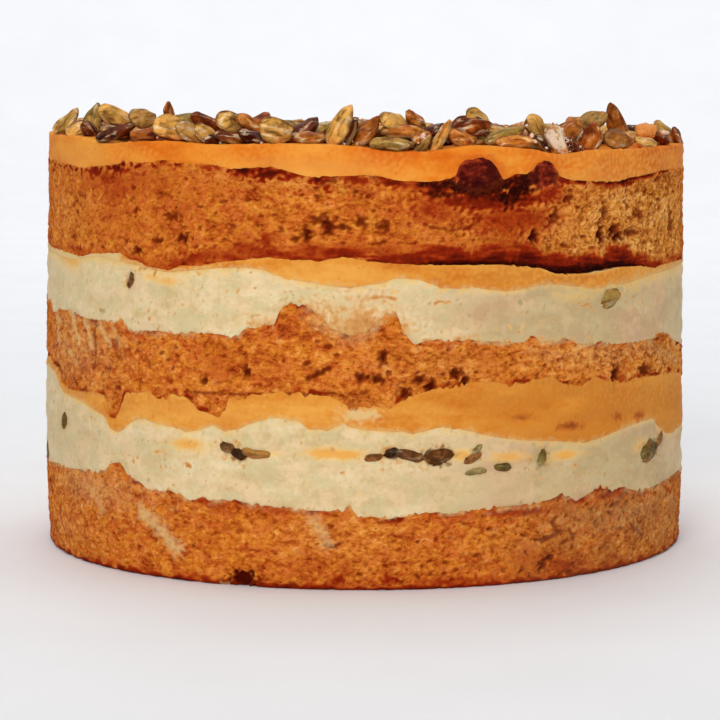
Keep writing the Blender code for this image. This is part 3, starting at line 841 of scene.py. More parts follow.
    # olive smudges where seeds lie just under the cream
    for x0, y0, x1, y1, value in (
            (532, 448, 548, 470, 0.62), (496, 462, 511, 471, 0.60),
            (465, 467, 487, 476, 0.45), (472, 444, 483, 454, 0.45),
            (640, 440, 658, 460, 0.50), (654, 434, 664, 446, 0.50),
            (58, 412, 72, 430, 0.42), (84, 412, 92, 440, 0.22),
            (604, 288, 622, 306, 0.25), (126, 276, 134, 288, 0.30),
            (404, 460, 420, 468, 0.20), (120, 435, 128, 454, 0.26),
            (96, 424, 104, 440, 0.2), (330, 478, 350, 486, 0.15)):
        patch(green, x0, y0, x1, y1, value, hard=0.5, ragged=0.15)
    # painted shadow by the seeds that lie just under the cream
    for x0, y0, x1, y1, value in (
            (535, 462, 541, 470, 0.6), (541, 450, 547, 456, 0.4),
            (498, 465, 506, 471, 0.6), (640, 452, 646, 461, 0.7),
            (655, 436, 662, 443, 0.5), (426, 449, 436, 463, 0.8),
            (387, 447, 397, 460, 0.8), (470, 455, 480, 463, 0.5),
            (233, 446, 243, 461, 0.7), (62, 418, 67, 427, 0.3),
            (631, 294, 635, 298, 0.5), (622, 299, 628, 304, 0.4)):
        patch(dark_and_shade, x0, y0, x1, y1, value, hard=0.7, ragged=0.15)
    # specks and squiggles on the cream
    for pts, width, value in (
            (((375, 298), (385, 297), (395, 299)), 0.5, 0.6),
            (((435, 303), (441, 301), (446, 303), (450, 301)), 0.45, 0.7),
            (((577, 302), (583, 306), (587, 303), (592, 311)), 0.5, 0.65),
            (((631, 296), (633, 297)), 0.6, 0.7),
            (((624, 302), (626, 303)), 0.5, 0.7),
            (((342, 473), (343, 473)), 0.5, 0.7),
            (((140, 269), (150, 267), (156, 270)), 0.9, 0.6),
            (((158, 452), (163, 451), (168, 453)), 0.8, 0.5),
            (((338, 483), (342, 481), (346, 480)), 0.4, 0.3)):
        stroke(brown, pts, width, value, hard=1.4, ragged=0.3)
    # round each sunk seed: a shallow hollow, painted shadow in it a little below the seed, and a faint
    # brown stain beyond
    for (theta, z, length, width, thick, tilt, face, _, _,
         value) in sunk_seeds():
        f = math.radians(face)
        hu = 0.40 * length
        hv = 0.40 * math.hypot(thick * math.cos(f), width * math.sin(f))
        blot(relief, theta, z, hu, hv, -0.30, turn=tilt, ragged=0.1,
             hard=1.6, add=True)
        blot(dark_and_shade, theta, z - 0.15, hu + 0.25, hv + 0.22, value, turn=tilt,
             ragged=0.16, hard=1.1)
        blot(brown, theta, z, hu + 0.8, hv + 0.6, 0.5 * value, turn=tilt,
             ragged=0.25, hard=0.8)

    rng = np.random.default_rng(77)
    # scattered tiny specks everywhere on cream and filling
    for _ in range(520):
        theta = rng.uniform(0.0, 2.0 * math.pi)
        which = rng.integers(0, 3)
        names = (("H", "G"), ("E", "D"), ("G", "F"))[which]
        low = float(border_at(names[0], theta))
        high = float(border_at(names[1], theta))
        if high - low < 1.5:
            continue
        z = rng.uniform(low + 0.4, high - 0.4)
        size = rng.uniform(0.16, 0.34)
        blot(brown, theta, z, size * rng.uniform(1.0, 1.8), size,
             rng.uniform(0.25, 0.6), turn=rng.uniform(-90, 90), hard=1.5)

    more = np.random.default_rng(78)
    for _ in range(900):
        theta = more.uniform(0.0, 2.0 * math.pi)
        names = (("H", "G"), ("E", "D"))[more.integers(0, 2)]
        low = float(border_at(names[0], theta))
        high = float(border_at(names[1], theta))
        z = low + 0.3 + (high - low - 0.6) * more.uniform(0.0, 1.0)
        size = more.uniform(0.15, 0.36) * (1.0 + (more.uniform() > 0.93))
        raster = (brown, brown, green, orange)[more.integers(0, 4)]
        blot(raster, theta, z, size * more.uniform(1.0, 1.9), size,
             more.uniform(0.22, 0.60), turn=more.uniform(-90, 90), hard=1.2)

    # --- the far side gets marks of the same kinds
    def back_angle():
        return math.radians(rng.uniform(82.0, 278.0))

    layers = (("H", None), ("E", "F"), ("B", "C"))
    # pits behind, sunk into the relief with painted shade in them
    for _ in range(40):
        theta = back_angle()
        high, low = layers[rng.integers(0, 3)]
        top = float(border_at(high, theta))
        bottom = 0.0 if low is None else float(border_at(low, theta))
        z = bottom + rng.uniform(0.1, 0.9) * (top - bottom)
        hu, hv = rng.uniform(0.7, 1.6), rng.uniform(0.6, 1.3)
        blot(relief, theta, z, hu, hv, -rng.uniform(0.4, 0.9), hard=0.9,
             ragged=0.35, add=True)
        blot(pit_shade, theta, z, hu, hv, 0.85, hard=0.8, ragged=0.4)
    for _ in range(22):
        theta = back_angle()
        high, low = layers[rng.integers(0, 3)]
        top = float(border_at(high, theta))
        bottom = 0.0 if low is None else float(border_at(low, theta))
        z = bottom + rng.uniform(0.1, 0.9) * (top - bottom)
        blot(red, theta, z, rng.uniform(2.0, 6.0), rng.uniform(1.2, 2.6),
             rng.uniform(0.3, 0.7), hard=1.2, ragged=0.5)
        theta = back_angle()
        blot(pale_and_highlight, theta, z, rng.uniform(6.0, 14.0), rng.uniform(3.0, 6.0),
             rng.uniform(0.3, 0.7), hard=0.8, ragged=0.3)
    for _ in range(15):
        theta = back_angle()
        name = ("H", "E")[rng.integers(0, 2)]
        z = float(border_at(name, theta)) - rng.uniform(1.5, 5.0)
        for k in range(9):
            blot(cream, theta + k * 0.007, z - k * 0.35, 1.3, 1.1,
                 0.6, hard=0.7, ragged=0.4)
    for _ in range(16):
        theta = back_angle()
        low, high = (("H", "G"), ("E", "D"))[rng.integers(0, 2)]
        za, zb = float(border_at(low, theta)), float(border_at(high, theta))
        z = za + rng.uniform(0.2, 0.85) * (zb - za)
        blot(orange, theta, z, rng.uniform(2.0, 4.5), 0.9, 0.7,
             turn=rng.uniform(-12, 12), hard=1.0, ragged=0.6)
    for _ in range(14):
        theta = back_angle()
        za, zb = float(border_at("G", theta)), float(border_at("F", theta))
        blot(brown, theta, za + rng.uniform(0.3, 0.7) * (zb - za),
             rng.uniform(1.2, 2.6), 0.8, 0.45, hard=1.0, ragged=0.6)
    # one more dark lump poking into the frosting behind
    for deg, half in ((141.0, 4.2), (205.0, 3.2)):
        theta = math.radians(deg)
        z = float(border_at("B", theta)) - 0.6
        blot(red, theta, z, half, 2.6, 1.0, hard=1.5, ragged=0.15)
        blot(maroon, theta, z, half, 2.3, 0.9, hard=2.0, ragged=0.15)
        blot(dark_and_shade, theta, z - 1.8, half, 1.6, 0.7, hard=1.3, ragged=0.3)
    # pits do not cross into cream, cream does not count on cream
    pit_shade[:] = np.where(is_cream | is_orange, np.minimum(pit_shade, 0.65), pit_shade)


finish_rasters()


# ======================================================================
# Mesh tools
# ======================================================================
def sample(raster, theta, z):
    u = np.mod(theta, 2.0 * math.pi) / (2.0 * math.pi) * NU
    v = np.clip((z - Z0) / DV, 0.0, NV - 1.001)
    i, j = np.floor(u).astype(int), np.floor(v).astype(int)
    fu, fv = u - i, v - j
    i0, i1 = i % NU, (i + 1) % NU
    return ((raster[i0, j] * (1 - fv) + raster[i0, j + 1] * fv) * (1 - fu)
            + (raster[i1, j] * (1 - fv) + raster[i1, j + 1] * fv) * fu)


MASKS = {"pit_shade": pit_shade, "red": red, "dark_and_shade": dark_and_shade, "pale_and_highlight": pale_and_highlight,
         "cream": cream, "orange": orange, "brown": brown, "green": green,
         "maroon": maroon, "tan": tan}


def build_mesh(name, verts, faces_quads, faces_tris, attributes=None):
    """A mesh from arrays; verts in mm."""
    mesh = bpy.data.meshes.new(name)
    nq, nt = len(faces_quads), len(faces_tris)
    mesh.vertices.add(len(verts))
    mesh.vertices.foreach_set("co", (np.asarray(verts, np.float32)
                                     * MM).ravel())
    loops = np.concatenate([np.asarray(faces_quads, np.int32).ravel(),
                            np.asarray(faces_tris, np.int32).ravel()])
    mesh.loops.add(len(loops))
    mesh.loops.foreach_set("vertex_index", loops)
    mesh.polygons.add(nq + nt)
    starts = np.concatenate([np.arange(nq) * 4, nq * 4 + np.arange(nt) * 3])
    mesh.polygons.foreach_set("loop_start", starts.astype(np.int32))
    mesh.update(calc_edges=True)
    mesh.validate()
    mesh.shade_smooth()
    for key, values in (attributes or {}).items():
        values = np.asarray(values, np.float32)
        kind = "FLOAT_VECTOR" if values.ndim == 2 else "FLOAT"
        layer = mesh.attributes.new(key, kind, "POINT")
        layer.data.foreach_set("vector" if values.ndim == 2 else "value",
                               values.ravel())
    obj = bpy.data.objects.new(name, mesh)
    bpy.context.scene.collection.objects.link(obj)
    return obj


def sharpen_rims(obj, rims):
    """Crisp shading where a layer's wall turns into its flat."""
    mesh = obj.data
    ends = np.empty(2 * len(mesh.edges), np.int32)
    mesh.edges.foreach_get("vertices", ends)
    a, b = ends.reshape(-1, 2).T
    sharp = np.zeros(len(a), bool)
    for start, n in rims:
        sharp |= ((a >= start) & (a < start + n) & (b >= start)
                  & (b < start + n))
    layer = (mesh.attributes.get("sharp_edge")
             or mesh.attributes.new("sharp_edge", "BOOLEAN", "EDGE"))
    layer.data.foreach_set("value", sharp)
    return obj


def ring_quads(a, b, n):
    k = np.arange(n)
    m = (k + 1) % n
    return np.stack([a + k, a + m, b + m, b + k], 1)


def cap(start_edge, first_new, theta, edge_radius, height_edge, level,
        lift, up):
    """Closes a wall's open edge with rings that calm down to the centre.

    Returns new vertices, quads and triangles."""
    n = len(theta)
    verts, quads, tris = [], [], []
    # first ring, just inside, same number of points
    r = edge_radius - 2.2
    z = height_edge + lift * 0.5
    off = float(lean(level))
    verts.append(np.stack([r * np.sin(theta) + off, -r * np.cos(theta), z],
                          1))
    ring = ring_quads(start_edge, first_new, n)
    quads.append(ring if up else ring[:, ::-1])
    # second ring with a tenth of the points
    step = 10
    small_theta = theta[::step]
    r2 = 58.0
    z2 = level + 0.25 * (height_edge[::step] - level) + lift
    base2 = first_new + n
    verts.append(np.stack([r2 * np.sin(small_theta) + off,
                           -r2 * np.cos(small_theta), z2], 1))
    k2 = n // step
    for j in range(k2):
        hub = base2 + j
        for i in range(step):
            a = first_new + (j * step + i) % n
            b = first_new + (j * step + i + 1) % n
            tris.append((a, b, hub))
        last = first_new + ((j + 1) * step) % n
        tris.append((last, base2 + (j + 1) % k2, hub))
    centre = base2 + k2
    verts.append(np.array([[off, 0.0, level + lift]]))
    for j in range(k2):
        tris.append((base2 + j, base2 + (j + 1) % k2, centre))
    tris = np.array(tris)
    if not up:
        tris = tris[:, ::-1]
    return np.concatenate(verts), quads, tris


def layer_mesh(name, low, high, rows, offset=0.0, extra=None):
    """Fine closed mesh of one layer between two borders."""
    n = COLUMNS
    theta = np.arange(n) * (2.0 * math.pi / n)
    zl = (np.zeros(n) if low is None else border_at(low, theta))
    zh = border_at(high, theta)
    t = np.linspace(0.0, 1.0, rows + 1)
    th = np.broadcast_to(theta[None, :], (rows + 1, n))
    z = zl[None, :] + (zh - zl)[None, :] * t[:, None]
    # sample just inside the layer, so that neighbours don't bleed over
    inside = np.clip(z, zl[None, :] + 0.16, zh[None, :] - 0.16)
    out = sample(relief, th, inside)
    r = wall_radius(z) + out + offset
    if low is None:
        # the base edge is slightly rounded
        r = r - 0.7 * np.clip(1.0 - z / 0.7, 0.0, 1.0) ** 2
    if extra is not None:
        r = r + extra(th, z)
    verts = np.stack([r * np.sin(th) + lean(z), -r * np.cos(th), z],
                     2).reshape(-1, 3)
    quads = [ring_quads(k * n, (k + 1) * n, n) for k in range(rows)]
    masks = {key: sample(raster, th, inside).ravel()
             for key, raster in MASKS.items()}
    all_verts, tris = [verts], []
    count = len(verts)
    for edge, rr, zz, lift, up in ((0, r[0], z[0], 0.3, False),
                                   (rows * n, r[-1], z[-1], -0.3, True)):
        level = float(zz.mean())
        if low is None and not up:
            lift = 0.0
        v, q, f = cap(edge, count, theta, rr, zz, level, lift, up)
        for ring in q:
            quads.append(ring)
        tris.append(f)
        all_verts.append(v)
        for key in masks:
            src = masks[key][edge:edge + n]
            add = np.concatenate([src, src[::10],
                                  [0.0]])
            masks[key] = np.concatenate([masks[key], add])
        count += len(v)
    made = build_mesh(name, np.concatenate(all_verts),
                      np.concatenate(quads), np.concatenate(tris), masks)
    return sharpen_rims(made, ((0, n), (rows * n, n)))


# ======================================================================
# Materials
# ======================================================================
def lin(r, g, b):
    out = []
    for v in (r, g, b):
        v /= 255.0
        out.append(v / 12.92 if v <= 0.04045 else ((v + 0.055) / 1.055) ** 2.4)
    return (*out, 1.0)


class Graph:
    """Short names for building a material's nodes."""

    def __init__(self, name):
        self.material = bpy.data.materials.new(name)
        self.material.use_nodes = True
        self.tree = self.material.node_tree
        self.shader = self.tree.nodes["Principled BSDF"]
        self._mm = None

    def node(self, kind, **settings):
        node = self.tree.nodes.new(kind)
        for key, value in settings.items():
            setattr(node, key, value)
        return node

    def put(self, socket, value):
        if hasattr(value, "is_output") or isinstance(
                value, bpy.types.NodeSocket):
            self.tree.links.new(value, socket)
        else:
            socket.default_value = value

    def mm(self):
        """Object coordinates in millimetres."""
        if self._mm is None:
            coord = self.node("ShaderNodeTexCoord")
            scale = self.node("ShaderNodeVectorMath", operation="SCALE")
            self.put(scale.inputs[0], coord.outputs["Object"])
            scale.inputs["Scale"].default_value = 1000.0
            self._mm = scale.outputs[0]
        return self._mm

    def attr(self, name, vector=False):
        node = self.node("ShaderNodeAttribute", attribute_name=name)
        return node.outputs["Vector" if vector else "Fac"]

    def noise(self, scale, detail=3.0, rough=0.55, where=None, distort=0.0,
              stretch=None):
        where = where or self.mm()
        if stretch:
            mapping = self.node("ShaderNodeMapping")
            mapping.inputs["Scale"].default_value = stretch
            self.put(mapping.inputs["Vector"], where)
            where = mapping.outputs[0]
        node = self.node("ShaderNodeTexNoise")
        self.put(node.inputs["Vector"], where)
        node.inputs["Scale"].default_value = scale
        node.inputs["Detail"].default_value = detail
        node.inputs["Roughness"].default_value = rough
        node.inputs["Distortion"].default_value = distort
        return node.outputs["Fac"]

    def cells(self, scale, where=None, feature="F1"):
        node = self.node("ShaderNodeTexVoronoi", feature=feature)
        self.put(node.inputs["Vector"], where or self.mm())
        node.inputs["Scale"].default_value = scale
        return node.outputs["Distance"]

    def math(self, op, a, b=0.0, c=None, clamp=False):
        node = self.node("ShaderNodeMath", operation=op, use_clamp=clamp)
        self.put(node.inputs[0], a)
        self.put(node.inputs[1], b)
        if c is not None:
            self.put(node.inputs[2], c)
        return node.outputs[0]

    def between(self, x, lo, hi, to_lo=0.0, to_hi=1.0):
        node = self.node("ShaderNodeMapRange", interpolation_type="SMOOTHSTEP")
        self.put(node.inputs["Value"], x)
        node.inputs["From Min"].default_value = lo
        node.inputs["From Max"].default_value = hi
        node.inputs["To Min"].default_value = to_lo
        node.inputs["To Max"].default_value = to_hi
        return node.outputs[0]

    def ramp(self, x, stops):
        node = self.node("ShaderNodeValToRGB")
        ramp = node.color_ramp
        while len(ramp.elements) > 1:
            ramp.elements.remove(ramp.elements[-1])
        ramp.elements[0].position, ramp.elements[0].color = stops[0]
        for position, colour in stops[1:]:
            ramp.elements.new(position).color = colour
        self.put(node.inputs["Fac"], x)
        return node.outputs["Color"]

    def mix(self, a, b, factor, blend="MIX"):
        node = self.node("ShaderNodeMix", data_type="RGBA", blend_type=blend)
        node.clamp_factor = True
        self.put(node.inputs["Factor"], factor)
        self.put(node.inputs[6], a)
        self.put(node.inputs[7], b)
        return node.outputs[2]

    def bump(self, height, distance, strength=1.0, after=None):
        node = self.node("ShaderNodeBump")
        node.inputs["Strength"].default_value = strength
        node.inputs["Distance"].default_value = distance * MM
        self.put(node.inputs["Height"], height)
        if after is not None:
            self.put(node.inputs["Normal"], after)
        return node.outputs["Normal"]

    def set(self, **values):
        for key, value in values.items():
            self.put(self.shader.inputs[key.replace("_", " ")], value)


def edge_mask(g, name, grain, spread=0.5, lo=0.22, hi=0.62):
    """A raster mask sharpened and frayed with fine grain."""
    value = g.math("ADD", g.attr(name),
                   g.math("MULTIPLY", g.math("SUBTRACT", grain, 0.5), spread))
    return g.between(value, lo, hi)


def weighted(g, *pairs):
    total = None
    for value, weight in pairs:
        part = g.math("MULTIPLY", g.math("SUBTRACT", value, 0.5), weight)
        total = part if total is None else g.math("ADD", total, part)
    return g.math("ADD", total, 0.5)


def sponge_material():
    g = Graph("sponge_crumb")
    flat = (0.78, 0.78, 1.25)
    clump = g.noise(0.50, 3.0, 0.6, distort=0.6, stretch=flat)
    flake = g.noise(1.05, 2.0, 0.55, distort=0.4, stretch=flat)
    grit = g.noise(2.4, 1.0, 0.5, stretch=flat)
    patchy = g.noise(0.15, 2.0, 0.5)
    hue = g.noise(0.34, 3.0, 0.62, distort=0.8, stretch=flat)
    mixed = weighted(g, (clump, 0.52), (flake, 0.40), (grit, 0.16),
                     (patchy, 0.22))
    golden = g.ramp(mixed, [
        (0.30, lin(134, 54, 12)), (0.40, lin(184, 92, 24)),
        (0.50, lin(215, 124, 38)), (0.60, lin(231, 147, 58)),
        (0.70, lin(244, 178, 98))])
    rusty = g.ramp(mixed, [
        (0.30, lin(110, 32, 6)), (0.40, lin(158, 60, 16)),
        (0.50, lin(198, 92, 32)), (0.60, lin(216, 116, 50)),
        (0.70, lin(234, 150, 84))])
    colour = g.mix(golden, rusty, g.between(hue, 0.40, 0.62, 0.0, 0.9))
    yellow = g.ramp(mixed, [
        (0.30, lin(116, 54, 10)), (0.40, lin(178, 98, 30)),
        (0.50, lin(220, 144, 60)), (0.60, lin(240, 174, 92)),
        (0.70, lin(251, 206, 138))])
    colour = g.mix(colour, yellow, g.attr("pale_and_highlight"))
    # browned crust, from orange brown to nearly black
    baked = g.math("ADD", g.attr("red"), g.math("ADD", g.math(
        "MULTIPLY", g.math("SUBTRACT", clump, 0.5), 1.0), g.math(
            "MULTIPLY", g.math("SUBTRACT", flake, 0.5), 0.6)))
    crust = g.ramp(g.math("MULTIPLY", baked, 0.5), [
        (0.10, lin(206, 100, 34)), (0.28, lin(178, 66, 18)),
        (0.50, lin(142, 36, 8)), (0.74, lin(98, 18, 5)),
        (1.00, lin(58, 8, 4))])
    colour = g.mix(colour, crust, g.math(
        "MULTIPLY", g.between(baked, 0.10, 0.85),
        g.between(g.attr("red"), 0.0, 0.2)))
    # deep brown burnt places, and painted shadow in the recess, deep pits and at the base
    deep = g.ramp(mixed, [
        (0.38, lin(24, 4, 2)), (0.52, lin(50, 9, 4)),
        (0.66, lin(90, 22, 8))])
    colour = g.mix(colour, deep, edge_mask(g, "dark_and_shade", clump, 0.9, 0.12, 0.90))
    # painted shade: hollows and pores go dark and red
    pores = g.between(g.cells(0.80), 0.10, 0.30, 1.0, 0.0)
    gate = g.between(g.noise(0.55, 2.0), 0.54, 0.66)
    pores = g.math("MULTIPLY", pores, gate)
    hollow_shade = g.math("MAXIMUM", g.between(g.attr("pit_shade"), 0.02, 0.50),
                    g.math("MULTIPLY", pores, 0.5))
    colour = g.mix(colour, lin(126, 36, 4), g.math("MULTIPLY", hollow_shade, 0.78))
    colour = g.mix(colour, lin(70, 9, 1), g.between(
        g.math("ADD", g.attr("pit_shade"), g.math("MULTIPLY", g.math(
            "SUBTRACT", flake, 0.5), 0.45)), 0.42, 0.98, 0.0, 0.92))
    # smooth dark red lumps
    blush = g.math("MULTIPLY", g.math("SUBTRACT", 0.95, g.attr("maroon")),
                   0.55)
    plum = g.ramp(g.math("ADD", blush, weighted(
        g, (patchy, 0.5), (clump, 0.8), (flake, 0.5))), [
        (0.36, lin(66, 12, 8)), (0.50, lin(108, 28, 16)),
        (0.66, lin(156, 54, 28)), (0.84, lin(196, 82, 36))])
    plum = g.mix(plum, lin(54, 8, 6), g.between(g.attr("dark_and_shade"), 0.0, 0.8,
                                                0.0, 0.88))
    colour = g.mix(colour, plum, g.between(g.attr("maroon"), 0.10, 0.50))
    smear = edge_mask(g, "cream", clump, 0.5, 0.12, 0.95)
    smear = g.math("MULTIPLY", smear, g.between(flake, 0.30, 0.60, 0.60, 0.90))
    colour = g.mix(colour, lin(222, 182, 122), smear)
    smear2 = edge_mask(g, "orange", flake, 0.4, 0.15, 0.75)
    colour = g.mix(colour, lin(236, 150, 58), smear2)
    colour = g.mix(colour, lin(140, 82, 44),
                   g.math("MULTIPLY", g.attr("tan"), 0.36))
    height = weighted(g, (clump, 0.5), (flake, 0.8), (grit, 0.4))
    height = g.math("SUBTRACT", height, g.math("MULTIPLY", pores, 0.5))
    normal = g.bump(height, 0.42, 0.55)
    g.set(Base_Color=colour, Roughness=0.9, Normal=normal)
    g.shader.inputs["Specular IOR Level"].default_value = 0.04
    g.shader.inputs["Subsurface Weight"].default_value = 0.08
    g.shader.inputs["Subsurface Radius"].default_value = (1.0, 0.4, 0.1)
    g.shader.inputs["Subsurface Scale"].default_value = 0.0012
    return g.material


def cream_material():
    g = Graph("cream_ivory")
    soft = g.noise(0.10, 3.0, 0.5, stretch=(1.0, 1.0, 2.5))
    mottle = g.noise(0.36, 2.0, 0.55)
    fine = g.noise(1.1, 3.0, 0.6)
    colour = g.ramp(weighted(g, (soft, 0.5), (mottle, 0.42), (fine, 0.32)), [
        (0.34, lin(213, 184, 131)), (0.50, lin(229, 204, 156)),
        (0.64, lin(238, 218, 175))])
    greenish = g.noise(0.20, 3.0, 0.6, stretch=(0.8, 0.8, 1.3))
    colour = g.mix(colour, lin(212, 200, 152),
                   g.between(greenish, 0.50, 0.64, 0.0, 0.55))
    colour = g.mix(colour, lin(243, 214, 172),
                   g.between(greenish, 0.38, 0.48, 0.50, 0.0))
    # duller and a little pinkish
    broad = g.noise(0.055, 2.0, 0.5)
    dull = g.math("MULTIPLY", g.attr("tan"), g.between(
        weighted(g, (soft, 0.7), (mottle, 0.7)), 0.36, 0.64, 0.66, 1.16))
    colour = g.mix(colour, g.mix(lin(196, 170, 124), lin(205, 165, 126),
                                 g.between(broad, 0.45, 0.65)), dull)
    colour = g.mix(colour, g.mix(lin(246, 200, 112), lin(240, 174, 78),
                                 g.between(g.attr("orange"), 0.3, 0.8)),
                   g.math("MULTIPLY", edge_mask(g, "orange", mottle, 0.35,
                                                0.02, 0.85), 0.95))
    # crumbs of sponge rubbed into it
    grit = g.noise(1.5, 2.0, 0.6)
    rubbed = g.math("ADD", g.attr("brown"), g.math("ADD", g.math(
        "MULTIPLY", g.math("SUBTRACT", grit, 0.5), 0.42), g.math(
            "MULTIPLY", g.math("SUBTRACT", mottle, 0.5), 0.9)))
    stain = g.ramp(rubbed, [
        (0.15, lin(230, 190, 128)), (0.45, lin(216, 156, 86)),
        (0.75, lin(192, 116, 50)), (1.00, lin(126, 66, 26))])
    colour = g.mix(colour, stain, g.math(
        "MULTIPLY", g.between(rubbed, 0.02, 0.50, 0.0, 0.95),
        g.between(g.attr("brown"), 0.02, 0.16)))
    colour = g.mix(colour, lin(110, 96, 40),
                   g.math("MULTIPLY", edge_mask(g, "green", fine, 0.3,
                                                0.10, 0.90), 0.72))
    # painted shadow round the sunk seeds, and dark spots in the cream
    colour = g.mix(colour, lin(74, 42, 16),
                   g.math("MULTIPLY", edge_mask(g, "dark_and_shade", fine, 0.2,
                                                0.18, 0.90), 0.90))
    # sparse pinkish and grey specks
    specks = g.between(g.cells(0.62), 0.08, 0.20, 1.0, 0.0)
    gate = g.between(g.noise(0.45, 1.0), 0.54, 0.62)
    colour = g.mix(colour, lin(176, 140, 104),
                   g.math("MULTIPLY", g.math("MULTIPLY", specks, gate), 0.5))
    # painted shade in the bubbles and dimples
    colour = g.mix(colour, lin(186, 148, 98),
                   g.math("MULTIPLY", g.between(g.attr("pit_shade"), 0.05, 0.7),
                          0.7))
    normal = g.bump(weighted(g, (mottle, 0.8), (fine, 0.5)), 0.30, 0.6)
    g.set(Base_Color=colour, Roughness=0.6, Normal=normal)
    g.shader.inputs["Specular IOR Level"].default_value = 0.15
    g.shader.inputs["Subsurface Weight"].default_value = 0.25
    g.shader.inputs["Subsurface Radius"].default_value = (1.0, 0.7, 0.4)
    g.shader.inputs["Subsurface Scale"].default_value = 0.0015
    return g.material


def orange_material(name, deep, mean, pale, dull, lively):
    g = Graph(name)
    soft = g.noise(0.07, 3.0, 0.5, stretch=(0.8, 0.8, 2.4))
    mottle = g.noise(0.34, 2.0, 0.55, stretch=(0.7, 0.7, 1.6))
    fine = g.noise(1.2, 3.0, 0.6)
    colour = g.ramp(weighted(g, (soft, 0.95), (mottle, 0.12 + 1.4 * lively),
                             (fine, 0.06 + 0.73 * lively)), [
        (0.34, deep), (0.50, mean), (0.66, pale)])
    colour = g.mix(colour, dull, g.math(
        "MULTIPLY", g.attr("tan"), g.between(mottle, 0.36, 0.64, 0.72, 1.1)))
    colour = g.mix(colour, lin(242, 176, 84),
                   g.math("MULTIPLY", g.attr("pale_and_highlight"), 0.55, clamp=True))
    # painted highlight: near-white where the mask runs past 1, as along the ledge of the thin filling
    colour = g.mix(colour, lin(252, 226, 168),
                   g.between(g.attr("pale_and_highlight"), 1.05, 1.7, 0.0, 0.85))
    stain = g.ramp(g.math("ADD", g.attr("brown"), g.math(
        "MULTIPLY", g.math("SUBTRACT", fine, 0.5), 0.8)), [
            (0.2, lin(214, 124, 44)), (0.6, lin(188, 98, 36)),
            (1.0, lin(128, 50, 16))])
    colour = g.mix(colour, stain,
                   g.math("MULTIPLY", edge_mask(g, "brown", fine, 0.6,
                                                0.1, 0.75), 0.85))
    colour = g.mix(colour, lin(230, 196, 136),
                   g.math("MULTIPLY", edge_mask(g, "cream", fine, 0.5,
                                                0.02, 0.98), 0.92))
    # the lumps stain what lies round them
    colour = g.mix(colour, lin(204, 88, 28),
                   g.between(g.attr("maroon"), 0.15, 1.0, 0.0, 0.6))
    specks = g.between(g.cells(0.28), 0.04, 0.10, 1.0, 0.0)
    colour = g.mix(colour, lin(176, 84, 24), g.math("MULTIPLY", specks, 0.35))
    normal = g.bump(weighted(g, (mottle, 0.6), (fine, 0.4)), 0.15, 0.5)
    g.set(Base_Color=colour, Roughness=0.7, Normal=normal)
    g.shader.inputs["Specular IOR Level"].default_value = 0.05
    g.shader.inputs["Subsurface Weight"].default_value = 0.15
    g.shader.inputs["Subsurface Radius"].default_value = (1.0, 0.5, 0.12)
    g.shader.inputs["Subsurface Scale"].default_value = 0.0013
    return g.material


SPONGE = sponge_material()
CREAM = cream_material()
ORANGE_FILL = orange_material("filling_orange", lin(208, 114, 31),
                              lin(226, 143, 47), lin(238, 167, 72),
                              lin(206, 128, 46), 0.24)
ORANGE_FROST = orange_material("frosting_orange", lin(220, 106, 20),
                               lin(233, 131, 34), lin(241, 154, 56),
                               lin(206, 106, 38), 0.04)


def place(obj, node, slot, material):
    obj.data.materials.append(material)
    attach(obj, "root")
    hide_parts(node)
    return obj


place(layer_mesh("sponge_bottom", None, "H", 46), "cake_bottom", "sponge",
      SPONGE)
place(layer_mesh("cream_low", "H", "G", 36), "cream_lower", "cream", CREAM)
place(layer_mesh("orange_low", "G", "F", 18), "filling_lower", "filling",
      ORANGE_FILL)
place(layer_mesh("sponge_mid", "F", "E", 36), "cake_middle", "sponge",
      SPONGE)
place(layer_mesh("cream_high", "E", "D", 28), "cream_upper", "cream", CREAM)
place(layer_mesh("orange_high", "D", "C", 10), "filling_upper", "filling",
      ORANGE_FILL)
place(layer_mesh("sponge_high", "C", "B", 50), "cake_top", "sponge", SPONGE)


